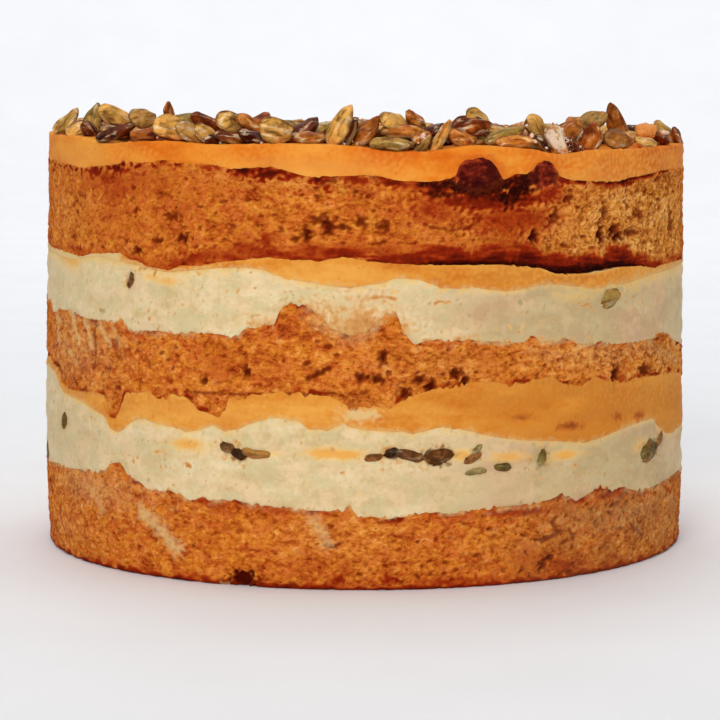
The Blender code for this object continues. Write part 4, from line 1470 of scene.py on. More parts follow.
# ---- frosting: side, rounded lip and a softly waved top --------------
def frosting_mesh(name):
    n = COLUMNS
    theta = np.arange(n) * (2.0 * math.pi / n)
    zl, zh = border_at("B", theta), border_at("A", theta)
    rows = 15
    lip = 0.55
    verts, quads, tris = [], [], []
    t = np.linspace(0.0, 1.0, rows + 1)
    th = np.broadcast_to(theta[None, :], (rows + 1, n))
    z = zl[None, :] + (zh - lip - zl)[None, :] * t[:, None]
    inside = np.clip(z, zl[None, :] + 0.16, zh[None, :] - 0.1)
    r = wall_radius(z) + sample(relief, th, inside)
    masks = {key: [sample(raster, th, inside).ravel()]
             for key, raster in MASKS.items()}
    verts.append(np.stack([r * np.sin(th) + lean(z), -r * np.cos(th), z],
                          2).reshape(-1, 3))
    off = float(lean(95.0))
    edge_r = r[-1]
    rings = rows + 1
    for k in range(1, 6):
        a = math.radians(90.0 * k / 5)
        rr = edge_r - lip + lip * math.cos(a)
        zz = zh - lip + lip * math.sin(a)
        verts.append(np.stack([rr * np.sin(theta) + off,
                               -rr * np.cos(theta), zz], 1))
        for key in masks:
            masks[key].append(masks[key][0].reshape(rows + 1, n)[-1])
        rings += 1
    for k in range(rings - 1):
        quads.append(ring_quads(k * n, (k + 1) * n, n))
    count = rings * n
    top_edge = (rings - 1) * n
    # top surface: rings with a quarter of the points
    step = 4
    m = n // step
    small = theta[::step]
    level = float(zh.mean())
    first = count
    radii = list(np.linspace(73.6, 6.0, 26))
    for r2 in radii:
        calm = smooth(np.array(r2), 40.0, 74.0)
        wob = (0.28 * np.sin(3 * small + r2 * 0.19)
               + 0.22 * np.sin(5 * small - r2 * 0.27 + 1.0))
        zz = (level + (0.25 + 0.75 * calm) * (zh[::step] - level)
              + wob * (1.0 - 0.5 * calm) - 0.2 * (1.0 - calm))
        verts.append(np.stack([r2 * np.sin(small) + off,
                               -r2 * np.cos(small), zz], 1))
    for j in range(m):
        hub = first + j
        for i in range(step):
            tris.append((top_edge + (j * step + i) % n,
                         top_edge + (j * step + i + 1) % n, hub))
        tris.append((top_edge + ((j + 1) * step) % n, first + (j + 1) % m,
                     hub))
    for k in range(len(radii) - 1):
        quads.append(ring_quads(first + k * m, first + (k + 1) * m, m))
    centre = first + len(radii) * m
    verts.append(np.array([[off, 0.0, level - 0.2]]))
    last = first + (len(radii) - 1) * m
    for j in range(m):
        tris.append((last + j, last + (j + 1) % m, centre))
    count = centre + 1
    v, q, f = cap(0, count, theta, r[0], z[0], float(zl.mean()), 0.3, False)
    verts.append(v)
    quads += q
    tris = np.concatenate([np.array(tris), f])
    total = count + len(v)
    final = {}
    for key in masks:
        values = np.concatenate(masks[key])
        pad = np.zeros(total - len(values))
        final[key] = np.concatenate([values, pad])
    made = build_mesh(name, np.concatenate(verts), np.concatenate(quads),
                      tris, final)
    return sharpen_rims(made, ((0, n),))


place(frosting_mesh("frosting_orange_coat"), "frosting", "filling",
      ORANGE_FROST)


def frosting_height(x, y):
    """Height of the frosting's top at a point, mm."""
    radius = math.hypot(x, y)
    theta = math.atan2(x, -y)
    zh = BORDER["A"]
    level = float(zh.mean())
    calm = float(smooth(np.array(radius), 40.0, 74.0))
    return level + (0.25 + 0.75 * calm) * (float(border_at("A", theta))
                                           - level)


# ======================================================================
# Pumpkin seeds
# ======================================================================
def seed_shape(length, width, thick, rng, around=20, along=12):
    """Verts, faces and edge nearness of one hulled pumpkin seed, mm.

    It lies flat in XY, blunt end to -X and pointed end to +X.  Both faces
    are gently domed with a shallow groove just inside a thin rim."""
    us = -np.cos(np.linspace(0.0, math.pi, along + 2))[1:-1]
    us = us * 0.995
    phi = np.arange(around) * (2.0 * math.pi / around)
    phi = phi - 0.22 * np.sin(2.0 * phi)   # closer together at the rim
    blunt = (1.0 + us) ** rng.uniform(0.46, 0.54)
    sharp = (1.0 - us) ** rng.uniform(0.66, 0.86)
    half = blunt * sharp
    half = half / half.max() * width / 2.0
    c, s = np.cos(phi), np.sin(phi)
    x = np.repeat(us[:, None] * length / 2.0, around, 1)
    y = half[:, None] * c
    # distance from the outline, 0 on it and 1 on the long axis
    ends = np.clip((1.0 - np.abs(us)) / 0.42, 0.0, 1.0)[:, None]
    inner = np.clip(1.0 - np.abs(c)[None, :], 0.0, 1.0)
    inner = np.minimum(inner * 1.0, 1.0) * (0.25 + 0.75 * ends)
    dome = (0.18 + 0.82 * np.clip(inner / 0.85, 0.0, 1.0) ** 0.50)
    groove = 0.22 * np.exp(-((inner - 0.17) / 0.08) ** 2)
    z = (np.sign(s) * np.minimum(1.0, np.abs(s) / 0.22) ** 0.7
         * (dome - groove) * thick / 2.0)
    taper = 0.45 + 0.55 * np.clip((1.0 - np.abs(us)) / 0.35, 0, 1) ** 0.6
    z = z * taper[:, None]
    # uneven, slightly bent and twisted like a toasted seed
    a, b, d = rng.uniform(-1, 1, 3)
    bend = 0.030 * length * a
    z = z + bend * ((x / (length / 2.0)) ** 2 - 0.35) \
        + 0.10 * b * y * x / length
    z = z + 0.07 * thick * np.sin(x * 1.3 + 3 * d) * np.cos(y * 1.1 + 4 * a)
    # lengthwise wrinkles and a shallow valley on either face
    z = z + np.sign(z) * taper[:, None] * thick * (
        0.045 * np.sin(y * 3.1 + 0.5 * x + 6 * d)
        - 0.07 * max(0.0, a) * np.exp(-(y / (0.16 * width)) ** 2))
    y = y + 0.03 * width * np.sin(x * 0.7 + 5 * b) \
        + 0.10 * d * (x / length) ** 2 * width
    verts = np.stack([x, y, z], 2).reshape(-1, 3)
    tips = np.array([[-length / 2.0, y[0].mean(), z[0].mean()],
                     [length / 2.0, y[-1].mean(), z[-1].mean()]])
    verts = np.concatenate([verts, tips])
    rim = np.concatenate([(1.0 - np.clip(inner / 0.55, 0.0, 1.0)).ravel(),
                          [1.0, 1.0]])
    quads = np.concatenate([ring_quads(k * around, (k + 1) * around, around)
                            for k in range(along - 1)])[:, ::-1]
    k = np.arange(around)
    m = (k + 1) % around
    t0, t1 = len(verts) - 2, len(verts) - 1
    last = (along - 1) * around
    tris = np.concatenate([np.stack([k * 0 + t0, k, m], 1),
                           np.stack([k * 0 + t1, last + m, last + k], 1)])
    return verts, quads, tris, rim


def seed_frame(tilt, swing, face):
    """Axes of a seed as seen from the front: tilt raises its right end,
    swing turns that end away, face turns the broad side to the front."""
    t, w, f = (math.radians(v) for v in (tilt, swing, face))
    d = np.array([math.cos(t) * math.cos(w), math.cos(t) * math.sin(w),
                  math.sin(t)])
    towards = np.array([0.0, -1.0, 0.0])
    n = towards - towards.dot(d) * d
    n /= np.linalg.norm(n)
    side = np.cross(n, d)
    normal = n * math.sin(f) + side * math.cos(f)
    return np.stack([d, np.cross(normal, d), normal], 1)


# Seeds that show along the front edge, from left to right:
# frame point, length, width, thickness, tilt, swing, face, distance from
# the axis, tone (0 dark, 1 brown, 2 orange brown, 3 golden, 4 tan olive,
# 5 green olive), sugar share
FRONT_SEEDS = [
    (62, 130, 8.0, 3.8, 1.6, 18, 62, 15, 71.5, 4.2, 0.0),
    (67, 121, 9.0, 4.4, 2.2, 39, 46, 46, 71.0, 4.6, 0.0),
    (78, 130, 7.4, 4.6, 2.6, 24, 58, 46, 71.5, 3.0, 0.25),
    (93, 121, 8.8, 5.4, 2.2, 72, 40, 50, 69.5, 4.9, 0.0),
    (91, 134, 6.6, 4.2, 2.0, -50, 30, 44, 71.6, 0.9, 0.0),
    (116, 116, 9.2, 5.2, 2.3, -17, 38, 46, 67.5, 3.5, 0.0),
    (117, 132, 10.0, 4.6, 2.2, 20, 6, 30, 71.6, 0.3, 0.0),
    (146, 134, 8.0, 4.0, 2.0, 5, 36, 30, 71.0, 1.6, 0.30),
    (143, 118, 8.4, 5.6, 2.3, 12, 56, 60, 66.0, 3.1, 0.0),
    (170, 121, 8.8, 3.9, 2.4, 96, 10, 20, 62.0, 1.2, 0.0),
    (173, 128, 9.4, 5.8, 2.4, -10, 22, 60, 70.0, 3.1, 0.0),
    (192, 134, 8.2, 4.8, 2.2, -28, 12, 44, 71.8, 3.2, 0.45),
    (207, 134, 7.4, 4.2, 2.0, -22, 44, 50, 71.6, 3.5, 0.3),
    (189, 120, 8.2, 4.8, 2.2, 10, 52, 46, 63.0, 4.9, 0.0),
    (207, 123, 9.0, 4.6, 2.2, -19, 36, 34, 64.5, 1.1, 0.15),
    (214, 140, 6.4, 3.8, 2.0, -6, 40, 24, 70.8, 0.4, 0.0),
    (232, 122, 9.0, 5.8, 2.4, 6, 52, 58, 68.6, 3.4, 0.2),
    (234, 138, 9.0, 4.6, 2.2, -9, 26, 24, 71.4, 1.0, 0.1),
    (251, 126, 9.0, 4.8, 2.2, -24, 44, 36, 66.0, 1.8, 0.0),
    (253, 137, 8.6, 4.8, 2.3, -8, 50, 32, 70.2, 0.1, 0.0),
    (261, 120, 6.6, 4.2, 2.0, 22, 50, 40, 62.0, 1.0, 0.0),
    (278, 131, 8.6, 6.0, 2.4, -10, 24, 78, 71.0, 3.8, 0.18),
    (306, 127, 9.0, 4.6, 2.2, 24, 50, 34, 67.0, 0.5, 0.0),
    (323, 128, 8.6, 4.8, 2.1, 8, 60, 24, 63.0, 4.9, 0.0),
    (311, 138, 8.6, 5.0, 2.3, 3, 46, 28, 71.2, 1.6, 0.2),
    (341, 125, 9.9, 5.4, 2.5, 61, 14, 52, 70.6, 3.3, 0.0),
    (349, 135, 8.2, 4.2, 2.2, 66, 30, 24, 71.4, 0.3, 0.15),
    (366, 132, 9.2, 5.0, 2.4, 42, 30, 46, 70.4, 1.4, 0.0),
    (393, 121, 8.2, 5.4, 2.5, 8, 62, 56, 66.5, 4.0, 0.0),
    (416, 121, 8.0, 4.8, 2.2, -14, 60, 34, 61.0, 1.7, 0.0),
    (405, 132, 10.6, 5.0, 2.3, -3, 10, 30, 68.2, 2.2, 0.1),
    (392, 144, 9.8, 5.0, 2.3, -1, 6, 22, 72.6, 4.7, 0.12),
    (422, 138, 5.6, 3.8, 1.9, 20, 50, 40, 71.2, 1.6, 0.3),
    (422, 146, 6.0, 2.9, 1.6, 48, 24, 30, 73.2, 4.0, 0.0),
    (437, 130, 7.8, 4.4, 2.2, 10, 60, 24, 64.0, 0.2, 0.0),
    (441, 137, 8.4, 3.9, 2.2, 58, 18, 28, 71.8, 2.6, 0.1),
    (463, 139, 8.4, 5.0, 2.4, -8, 46, 42, 71.8, 1.8, 0.1),
    (472, 127, 9.4, 6.0, 2.5, 6, 22, 52, 67.4, 0.9, 0.0),
    (479, 121, 8.6, 5.4, 2.4, -18, 46, 56, 64.5, 4.0, 0.0),
    (505, 135, 9.8, 4.4, 2.2, 19, 10, 26, 69.6, 4.5, 0.0),
    (515, 142, 9.2, 5.2, 2.5, 2, 16, 26, 71.8, 1.9, 0.0),
    (537, 130, 8.2, 5.0, 2.2, -50, 40, 54, 67.6, 4.0, 0.3),
    (558, 141, 8.4, 4.6, 2.3, -52, 18, 56, 71.8, 2.8, 1.0),
    (543, 145, 6.0, 3.6, 2.0, -40, 40, 20, 71.0, 0.2, 0.3),
    (574, 146, 6.4, 3.6, 2.0, -32, 30, 26, 72.6, 0.6, 0.35),
    (570, 130, 8.6, 5.4, 2.4, 26, 48, 58, 67.5, 2.0, 0.0),
    (579, 122, 7.4, 4.6, 2.2, 4, 40, 26, 58.0, 2.0, 0.0),
    (594, 120, 8.6, 5.2, 2.4, 22, 44, 50, 62.6, 4.0, 0.0),
    (590, 138, 8.2, 5.6, 2.5, 60, 40, 66, 72.0, 0.9, 0.0),
    (616, 122, 9.6, 4.9, 2.5, 112, 16, 54, 60.5, 1.9, 0.0),
    (619, 140, 8.8, 5.2, 2.6, -6, 38, 56, 72.6, 2.5, 0.1),
    (632, 130, 7.8, 4.6, 2.2, 6, 50, 24, 61.0, 0.1, 0.0),
    (647, 143, 7.2, 4.4, 2.1, -4, 46, 24, 73.0, 3.6, 0.1),
    (665, 131, 8.4, 4.6, 2.0, -22, 44, 34, 69.5, 4.3, 0.25),
    (668, 138, 7.4, 4.4, 2.0, -12, 50, 30, 71.0, 2.0, 0.6),
    (677, 138, 6.6, 4.0, 1.9, -34, 66, 24, 71.0, 1.0, 0.3),
]

# the line of tops that the seeds make against the backdrop
SKYLINE = [
    (40, 134), (50, 124), (57, 114), (66, 111), (76, 112), (84, 114),
    (92, 111), (101, 107), (110, 108), (132, 112), (140, 108), (150, 107),
    (156, 116), (163, 114), (166, 103), (173, 102), (178, 112), (188, 113),
    (205, 116), (218, 118), (224, 114), (234, 113), (244, 117), (255, 115),
    (268, 115), (282, 117), (296, 120), (305, 120), (318, 123), (328, 121),
    (336, 112), (346, 104), (356, 106), (361, 118), (374, 118), (382, 115),
    (390, 112), (398, 113), (405, 117), (418, 116), (428, 122), (437, 125),
    (446, 121), (458, 119), (466, 113), (478, 112), (488, 117), (496, 125),
    (506, 124), (518, 119), (528, 119), (536, 119), (546, 123), (554, 124),
    (562, 119), (574, 116), (582, 115), (592, 111), (602, 110), (607, 101),
    (613, 101), (622, 110), (630, 121), (640, 122), (652, 123), (662, 125),
    (672, 127), (684, 134), (692, 140)]

LOOSE_SEEDS = 400
DROP_FRAMES = 64


def frame_points(places):
    """Where points in mm fall in the frame."""
    c, s = math.cos(PITCH), math.sin(PITCH)
    rel = np.asarray(places) - EYE
    deep = rel[:, 1] * c - rel[:, 2] * s
    up = rel[:, 1] * s + rel[:, 2] * c
    return np.stack([360.0 + LENS_PX * rel[:, 0] / deep,
                     360.0 - LENS_PX * up / deep], 1)


def too_high(seed):
    """Whether a loose seed would stand out above the line of tops, or lie
    in front of the seeds of the front edge."""
    x, y, _ = seed["place"]
    radius = math.hypot(x, y)
    if radius > 64.5 and y < -22.0:
        return True
    verts = seed_shape(*seed["size"], np.random.default_rng(1), 10, 5)[0]
    seen = frame_points(verts @ np.asarray(seed["axes"]).T + seed["place"])
    line = np.interp(seen[:, 0], *np.array(SKYLINE, float).T)
    return bool((seen[:, 1] < line - 0.8).any())


def lying(theta, radius, size, yaw, face, tone, sugar=0.0, slope=0.0):
    """A seed that lies on the frosting at an angle round the cake."""
    _, width, thick = size
    f = math.radians(face)
    high = 0.5 * math.hypot(width * math.sin(f), thick * math.cos(f))
    high += 0.30 * size[0] * abs(math.sin(math.radians(slope)))
    x, y = radius * math.sin(theta), -radius * math.cos(theta)
    c, s = math.cos(theta), math.sin(theta)
    turn = np.array([[c, -s, 0.0], [s, c, 0.0], [0.0, 0.0, 1.0]])
    return dict(size=size, axes=turn @ seed_frame(slope, yaw, face),
                place=np.array([x, y, frosting_height(x, y) + 0.92 * high]),
                tone=tone, sugar=sugar, fixed=True)


def rim_seeds(rng):
    """Seeds along the rest of the edge, and a few behind the front row at
    the right."""
    places = [(73.5, 71.3), (53.0, 64.0), (62.5, 64.8), (71.5, 63.2),
              (81.0, 64.0), (99.0, 62.5)]
    places += [(92.0 + 7.34 * k, 70.2 + 1.3 * ((k * 5) % 3 - 1))
               for k in range(25)]
    made = []
    for degrees, radius in places:
        length = rng.uniform(8.2, 9.8)
        size = (length, length * rng.uniform(0.50, 0.58),
                rng.uniform(2.1, 2.5))
        made.append(lying(
            math.radians(degrees + rng.uniform(-0.8, 0.8)), radius, size,
            rng.uniform(-42.0, 42.0), rng.uniform(4.0, 34.0),
            float(rng.choice([0.3, 1.3, 2.1, 3.1, 3.9, 4.7])),
            float(rng.choice([0.0, 0.2, 0.6], p=[0.72, 0.2, 0.08])),
            rng.uniform(-9.0, 9.0)))
    return made


def carriers(placed, rng):
    """Seeds on the frosting under those placed seeds that nothing else
    carries."""
    made = []
    for seed in placed:
        x, y, z = seed["place"]
        if any(o is not seed and z - o["place"][2] > 1.5
               and math.hypot(o["place"][0] - x, o["place"][1] - y) < 3.2
               for o in placed):
            continue
        verts = seed_shape(*seed["size"], np.random.default_rng(1), 14, 9)[0]
        w = verts @ np.asarray(seed["axes"]).T + seed["place"]
        radius, theta = math.hypot(x, y), math.atan2(x, -y)
        close = w[np.hypot(w[:, 0] - x, w[:, 1] - y) < 2.4]
        room = float(close[:, 2].min()) - frosting_height(x, y)
        if room < 1.1:
            continue
        width, thick = rng.uniform(5.0, 5.6), rng.uniform(2.1, 2.4)
        high = min(max(room + 0.35, thick + 0.01), width - 0.01)
        face = math.degrees(math.asin(math.sqrt(
            (high ** 2 - thick ** 2) / (width ** 2 - thick ** 2))))
        under = lying(theta, radius - 0.9, (rng.uniform(8.6, 9.8), width,
                                            thick),
                      rng.uniform(-24.0, 24.0), face,
                      float(rng.choice([0.4, 1.3, 2.0, 4.2])))
        made.append(under)
    return made


def make_seeds():
    rng = np.random.default_rng(4242)
    seeds = []
    for (px, py, length, width, thick, tilt, swing, face, ring, tone,
         sugar) in FRONT_SEEDS:
        seeds.append(dict(size=(length, width, thick),
                          axes=seed_frame(tilt, swing, face),
                          place=on_ring(px, py, ring), tone=float(tone),
                          sugar=float(sugar), fixed=True))
    seeds += carriers(seeds, np.random.default_rng(616))
    seeds += rim_seeds(np.random.default_rng(515))
    # the rest are dropped on the frosting inside a ring, as when the cake
    # stood in its mould, and come to rest on each other
    spots = []
    for layer in range(6):
        step = 12.4
        for i in range(-7, 8):
            for j in range(-8, 9):
                x = (i + 0.5 * (j % 2)) * step + rng.uniform(-1.5, 1.5)
                y = j * step * 0.87 + rng.uniform(-1.5, 1.5)
                x += 3.1 * (layer % 3)
                y -= 2.7 * (layer % 2)
                if math.hypot(x, y) < 67.0:
                    spots.append((x, y, 11.0 + 9.0 * layer))
    for x, y, z in spots[:LOOSE_SEEDS]:
        length = rng.uniform(8.2, 10.6)
        width = length * rng.uniform(0.50, 0.60)
        q = rng.normal(size=4) * np.array([1.0, 0.6, 0.6, 1.0])
        seeds.append(dict(size=(length, width, rng.uniform(2.0, 2.6)),
                          turn=q / np.linalg.norm(q), start=(x, y, z),
                          tone=float(rng.choice(
                              [0.2, 1.2, 2.0, 3.0, 4.0, 4.9],
                              p=[0.10, 0.20, 0.20, 0.19, 0.20, 0.11])),
                          sugar=float(rng.choice(
                              [0.0, 0.2, 0.7, 1.0],
                              p=[0.70, 0.20, 0.08, 0.02])), fixed=False))
    drop(seeds, DROP_FRAMES)
    kept = [s for s in seeds if s["fixed"] or not (s["out"] or too_high(s))]
    for seed in kept:
        if not seed["fixed"]:
            p = seed["place"].copy()
            p[2] -= frosting_height(p[0], p[1])
            seed["start"] = tuple(p)
            seed["turn"] = np.array(Matrix(
                np.asarray(seed["axes"]).tolist()).to_quaternion())
    # let the others sink where some were taken away
    drop(kept, DROP_FRAMES // 2)
    return [s for s in kept if s["fixed"] or not s["out"]]


def drop(seeds, frames):
    """Settles the loose seeds on a flat floor between the placed ones,
    one unit of the drop being 10 mm; the floor is then laid on the
    frosting."""
    unit = 10.0
    scene = bpy.context.scene
    made = []
    meshes = []
    old_gravity = scene.gravity.copy()
    bpy.ops.rigidbody.world_add()
    world = scene.rigidbody_world
    world.substeps_per_frame = 10
    world.solver_iterations = 14
    scene.gravity = (0.0, 0.0, -38.0)
    hull_rng = np.random.default_rng(9)

    def body(obj, kind, shape, friction=0.5, margin=0.006):
        bpy.context.view_layer.objects.active = obj
        for other in bpy.context.selected_objects:
            other.select_set(False)
        obj.select_set(True)
        bpy.ops.rigidbody.object_add(type=kind)
        rb = obj.rigid_body
        rb.collision_shape = shape
        rb.friction = friction
        rb.restitution = 0.0
        rb.use_margin = True
        rb.collision_margin = margin
        rb.linear_damping = 0.12
        rb.angular_damping = 0.30
        made.append(obj)
        return rb

    def block(size, place, turn=0.0):
        mesh = bpy.data.meshes.new("block")
        sx, sy, sz = (v / 2.0 for v in size)
        verts = [(x, y, z) for x in (-sx, sx) for y in (-sy, sy)
                 for z in (-sz, sz)]
        faces = [(0, 1, 3, 2), (4, 6, 7, 5), (0, 4, 5, 1), (2, 3, 7, 6),
                 (0, 2, 6, 4), (1, 5, 7, 3)]
        mesh.from_pydata(verts, [], faces)
        meshes.append(mesh)
        obj = bpy.data.objects.new("block", mesh)
        scene.collection.objects.link(obj)
        obj.location = place
        obj.rotation_euler = (0.0, 0.0, turn)
        return obj

    body(block((24, 24, 2), (0, 0, -1.0)), "PASSIVE", "BOX", 0.8)
    sides = 36
    for k in range(sides):
        a = 2.0 * math.pi * k / sides
        r = 7.36 + 0.5
        body(block((1.0, 1.6, 12.0), (r * math.cos(a), r * math.sin(a), 5.0),
                   a), "PASSIVE", "BOX", 0.3)
    actors = []
    for seed in seeds:
        verts, quads, tris, _ = seed_shape(*seed["size"], hull_rng, 10, 5)
        mesh = bpy.data.meshes.new("hull")
        mesh.from_pydata((verts / unit).tolist(), [],
                         quads.tolist() + tris.tolist())
        meshes.append(mesh)
        obj = bpy.data.objects.new("hull", mesh)
        scene.collection.objects.link(obj)
        obj.rotation_mode = "QUATERNION"
        if seed["fixed"]:
            p = seed["place"].copy()
            p[2] -= frosting_height(p[0], p[1])
            obj.location = p / unit
            obj.rotation_quaternion = Matrix(
                seed["axes"].tolist()).to_quaternion()
            body(obj, "PASSIVE", "CONVEX_HULL")
        else:
            obj.location = np.array(seed["start"]) / unit
            obj.rotation_quaternion = seed["turn"]
            rb = body(obj, "ACTIVE", "CONVEX_HULL")
            rb.mass = 0.2
        actors.append(obj)
    world.point_cache.frame_start = 1
    world.point_cache.frame_end = frames
    for frame_number in range(1, frames + 1):
        scene.frame_set(frame_number)
    deps = bpy.context.evaluated_depsgraph_get()
    for seed, obj in zip(seeds, actors):
        if seed["fixed"]:
            continue
        m = np.array(obj.evaluated_get(deps).matrix_world)
        seed["axes"] = m[:3, :3]
        p = m[:3, 3] * unit
        seed["out"] = bool(math.hypot(p[0], p[1]) > 74.0 or p[2] < 0.3
                           or p[2] > 12.0)
        p[2] += frosting_height(p[0], p[1])
        seed["place"] = p
    scene.frame_set(1)
    bpy.ops.rigidbody.world_remove()
    scene.gravity = old_gravity
    for obj in made:
        bpy.data.objects.remove(obj, do_unlink=True)
    for mesh in meshes:
        bpy.data.meshes.remove(mesh)


def join_seeds(name, chosen, rng, around=18, along=11, shade=None):
    verts, quads, tris = [], [], []
    keys = {"tone": [], "shade": [], "sugar": [], "damp": [], "local": [],
            "rim": []}
    count = 0
    for seed in chosen:
        v, q, t, rim = seed_shape(*seed["size"], rng, around, along)
        verts.append(v @ np.asarray(seed["axes"]).T + seed["place"])
        quads.append(q + count)
        tris.append(t + count)
        n = len(v)
        count += n
        keys["tone"].append(np.full(n, (seed["tone"]
                                        + rng.uniform(-0.2, 0.2)) / 5.0))
        keys["shade"].append(np.full(n, shade or rng.uniform(0.0, 1.0)))
        keys["sugar"].append(np.full(n, seed["sugar"]))
        keys["damp"].append(np.full(n, seed.get("damp", 0.0)))
        # local coordinates with an offset, so that no two seeds match
        keys["local"].append(v + rng.uniform(-400, 400, 3))
        keys["rim"].append(rim)
    attributes = {k: np.concatenate(v) for k, v in keys.items()}
    return build_mesh(name, np.concatenate(verts), np.concatenate(quads),
                      np.concatenate(tris), attributes)


def seed_material():
    g = Graph("seed_toasted")
    local = g.attr("local", vector=True)
    streak = g.noise(0.60, 3.0, 0.55, where=local, distort=0.3,
                     stretch=(0.40, 1.5, 1.5))
    mottle = g.noise(0.34, 3.0, 0.6, where=local, distort=0.5)
    fine = g.noise(2.2, 2.0, 0.6, where=local)
    tone = g.math("ADD", g.attr("tone"),
                  g.math("MULTIPLY", g.math("SUBTRACT", mottle, 0.5), 0.85))
    colour = g.ramp(tone, [
        (0.00, lin(52, 12, 1)), (0.18, lin(130, 52, 8)),
        (0.38, lin(206, 116, 36)), (0.58, lin(240, 176, 84)),
        (0.78, lin(214, 158, 74)), (1.00, lin(150, 119, 50))])
    dry = g.math("SUBTRACT", 1.0, g.attr("damp"))
    wet = g.ramp(tone, [
        (0.00, lin(40, 24, 9)), (0.20, lin(100, 62, 28)),
        (0.40, lin(172, 118, 66)), (0.60, lin(92, 74, 30)),
        (0.80, lin(132, 112, 56)), (1.00, lin(154, 130, 72))])
    colour = g.mix(colour, wet, g.attr("damp"))
    # pale streaks, painted in as highlights in place of gloss
    colour = g.mix(colour, lin(254, 226, 180), g.math(
        "MULTIPLY", g.between(streak, 0.53, 0.72, 0.0, 0.75),
        g.math("MULTIPLY_ADD", dry, 0.75, 0.25)))
    colour = g.mix(colour, lin(70, 19, 2), g.math(
        "MULTIPLY", g.between(streak, 0.26, 0.50, 0.80, 0.0),
        g.math("MULTIPLY_ADD", dry, 0.6, 0.4)))
    # darker toasted patches
    toast = g.noise(0.36, 2.5, 0.6, where=local, distort=0.4)
    colour = g.mix(colour, g.mix(lin(76, 22, 2), lin(34, 22, 9),
                                 g.attr("damp")),
                   g.between(toast, 0.47, 0.74, 0.0, 0.72))
    # toasted rims and tips, darker also as painted shade at the edges
    rim = g.math("ADD", g.attr("rim"),
                 g.math("MULTIPLY", g.math("SUBTRACT", mottle, 0.5), 1.6))
    colour = g.mix(colour, lin(82, 28, 4), g.math(
        "MULTIPLY", g.between(rim, 0.62, 1.10, 0.0, 0.62),
        g.math("MULTIPLY_ADD", dry, 0.7, 0.3)))
    # a paler line on the very edge of some: the hull's pale edge, with a painted rim highlight
    edge = g.math("MULTIPLY", g.between(g.attr("rim"), 0.88, 0.98),
                  g.between(g.noise(0.22, 1.0, 0.5, where=local), 0.50, 0.62))
    colour = g.mix(colour, lin(226, 176, 102), g.math(
        "MULTIPLY", g.math("MULTIPLY", edge, 0.35), dry))
    colour = g.mix(colour, lin(64, 26, 6),
                   g.math("MULTIPLY", g.between(g.attr("shade"), 0.6, 1.0),
                          0.42))
    # a film of cream over part of those that are sunk in it
    film = g.between(weighted(g, (g.noise(0.26, 2.0, 0.5, where=local), 0.8),
                              (fine, 0.25)), 0.48, 0.66)
    film = g.math("MULTIPLY", film, g.between(g.attr("tone"), 0.60, 0.70))
    colour = g.mix(colour, lin(198, 178, 128), g.math(
        "MULTIPLY", film, g.math("MULTIPLY", g.attr("damp"), 0.65)))
    # patches of set sugar
    crystals = g.noise(1.3, 3.0, 0.7, where=local)
    spread = g.noise(0.30, 2.0, 0.5, where=local)
    cover = g.math("ADD", g.math("MULTIPLY", g.attr("sugar"), 0.20),
                   g.math("ADD", g.math("MULTIPLY", spread, 0.5),
                          g.math("MULTIPLY", crystals, 0.5)))
    sugar = g.between(cover, 0.64, 0.71)
    sugar = g.math("MULTIPLY", sugar, g.between(g.attr("sugar"), 0.02, 0.15))
    colour = g.mix(colour, lin(246, 220, 192), g.math("MULTIPLY", sugar, 0.85))
    height = weighted(g, (streak, 0.9), (fine, 0.35), (mottle, 0.5))
    height = g.math("ADD", height, g.math("MULTIPLY", g.math(
        "MULTIPLY", sugar, crystals), 1.8))
    normal = g.bump(height, 0.34, 0.65)
    rough = g.between(streak, 0.3, 0.7, 0.36, 0.54)
    g.set(Base_Color=colour, Roughness=rough, Normal=normal)
    g.shader.inputs["Specular IOR Level"].default_value = 0.05
    g.shader.inputs["Coat Weight"].default_value = 0.02
    g.shader.inputs["Coat Roughness"].default_value = 0.16
    g.shader.inputs["Subsurface Weight"].default_value = 0.05
    g.shader.inputs["Subsurface Radius"].default_value = (1.0, 0.45, 0.1)
    g.shader.inputs["Subsurface Scale"].default_value = 0.001
    return g.material


SEED = seed_material()
all_seeds = make_seeds()
mesh_rng = np.random.default_rng(31)
front_ones = [s for s in all_seeds if s["fixed"]]
rest = [s for s in all_seeds if not s["fixed"]]
place(join_seeds("seeds_front_row", front_ones, mesh_rng, 30, 18),
      "seed_heap", "seeds", SEED)
half = len(rest) // 2
place(join_seeds("seeds_heap_a", rest[:half], mesh_rng), "seed_heap",
      "seeds", SEED)
place(join_seeds("seeds_heap_b", rest[half:], mesh_rng), "seed_heap",
      "seeds", SEED)


def laid_in_cream():
    """The sunk seeds, so deep that only the near part shows."""
    items = []
    for (theta, z, length, width, thick, tilt, face, tone, damp,
         _) in sunk_seeds():
        f = math.radians(face)
        deep = (0.72 + 0.014 * (theta * 997.0 % 10.0)) * math.hypot(
            0.5 * width * math.cos(f),
            0.45 * thick * math.sin(f))
        c, s = math.cos(theta), math.sin(theta)
        turn = np.array([[c, -s, 0.0], [s, c, 0.0], [0.0, 0.0, 1.0]])
        radius = float(wall_radius(z)) - deep
        items.append(dict(
            size=(length, width, thick),
            axes=turn @ seed_frame(tilt, 0.0, face),
            place=np.array([radius * s + float(lean(z)), -radius * c, z]),
            tone=tone, sugar=0.0, damp=damp))
    return items


sunk = join_seeds("seeds_in_cream", laid_in_cream(),
                  np.random.default_rng(61), 26, 16, shade=0.5)
sunk.data.materials.append(SEED)
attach(sunk, "root")


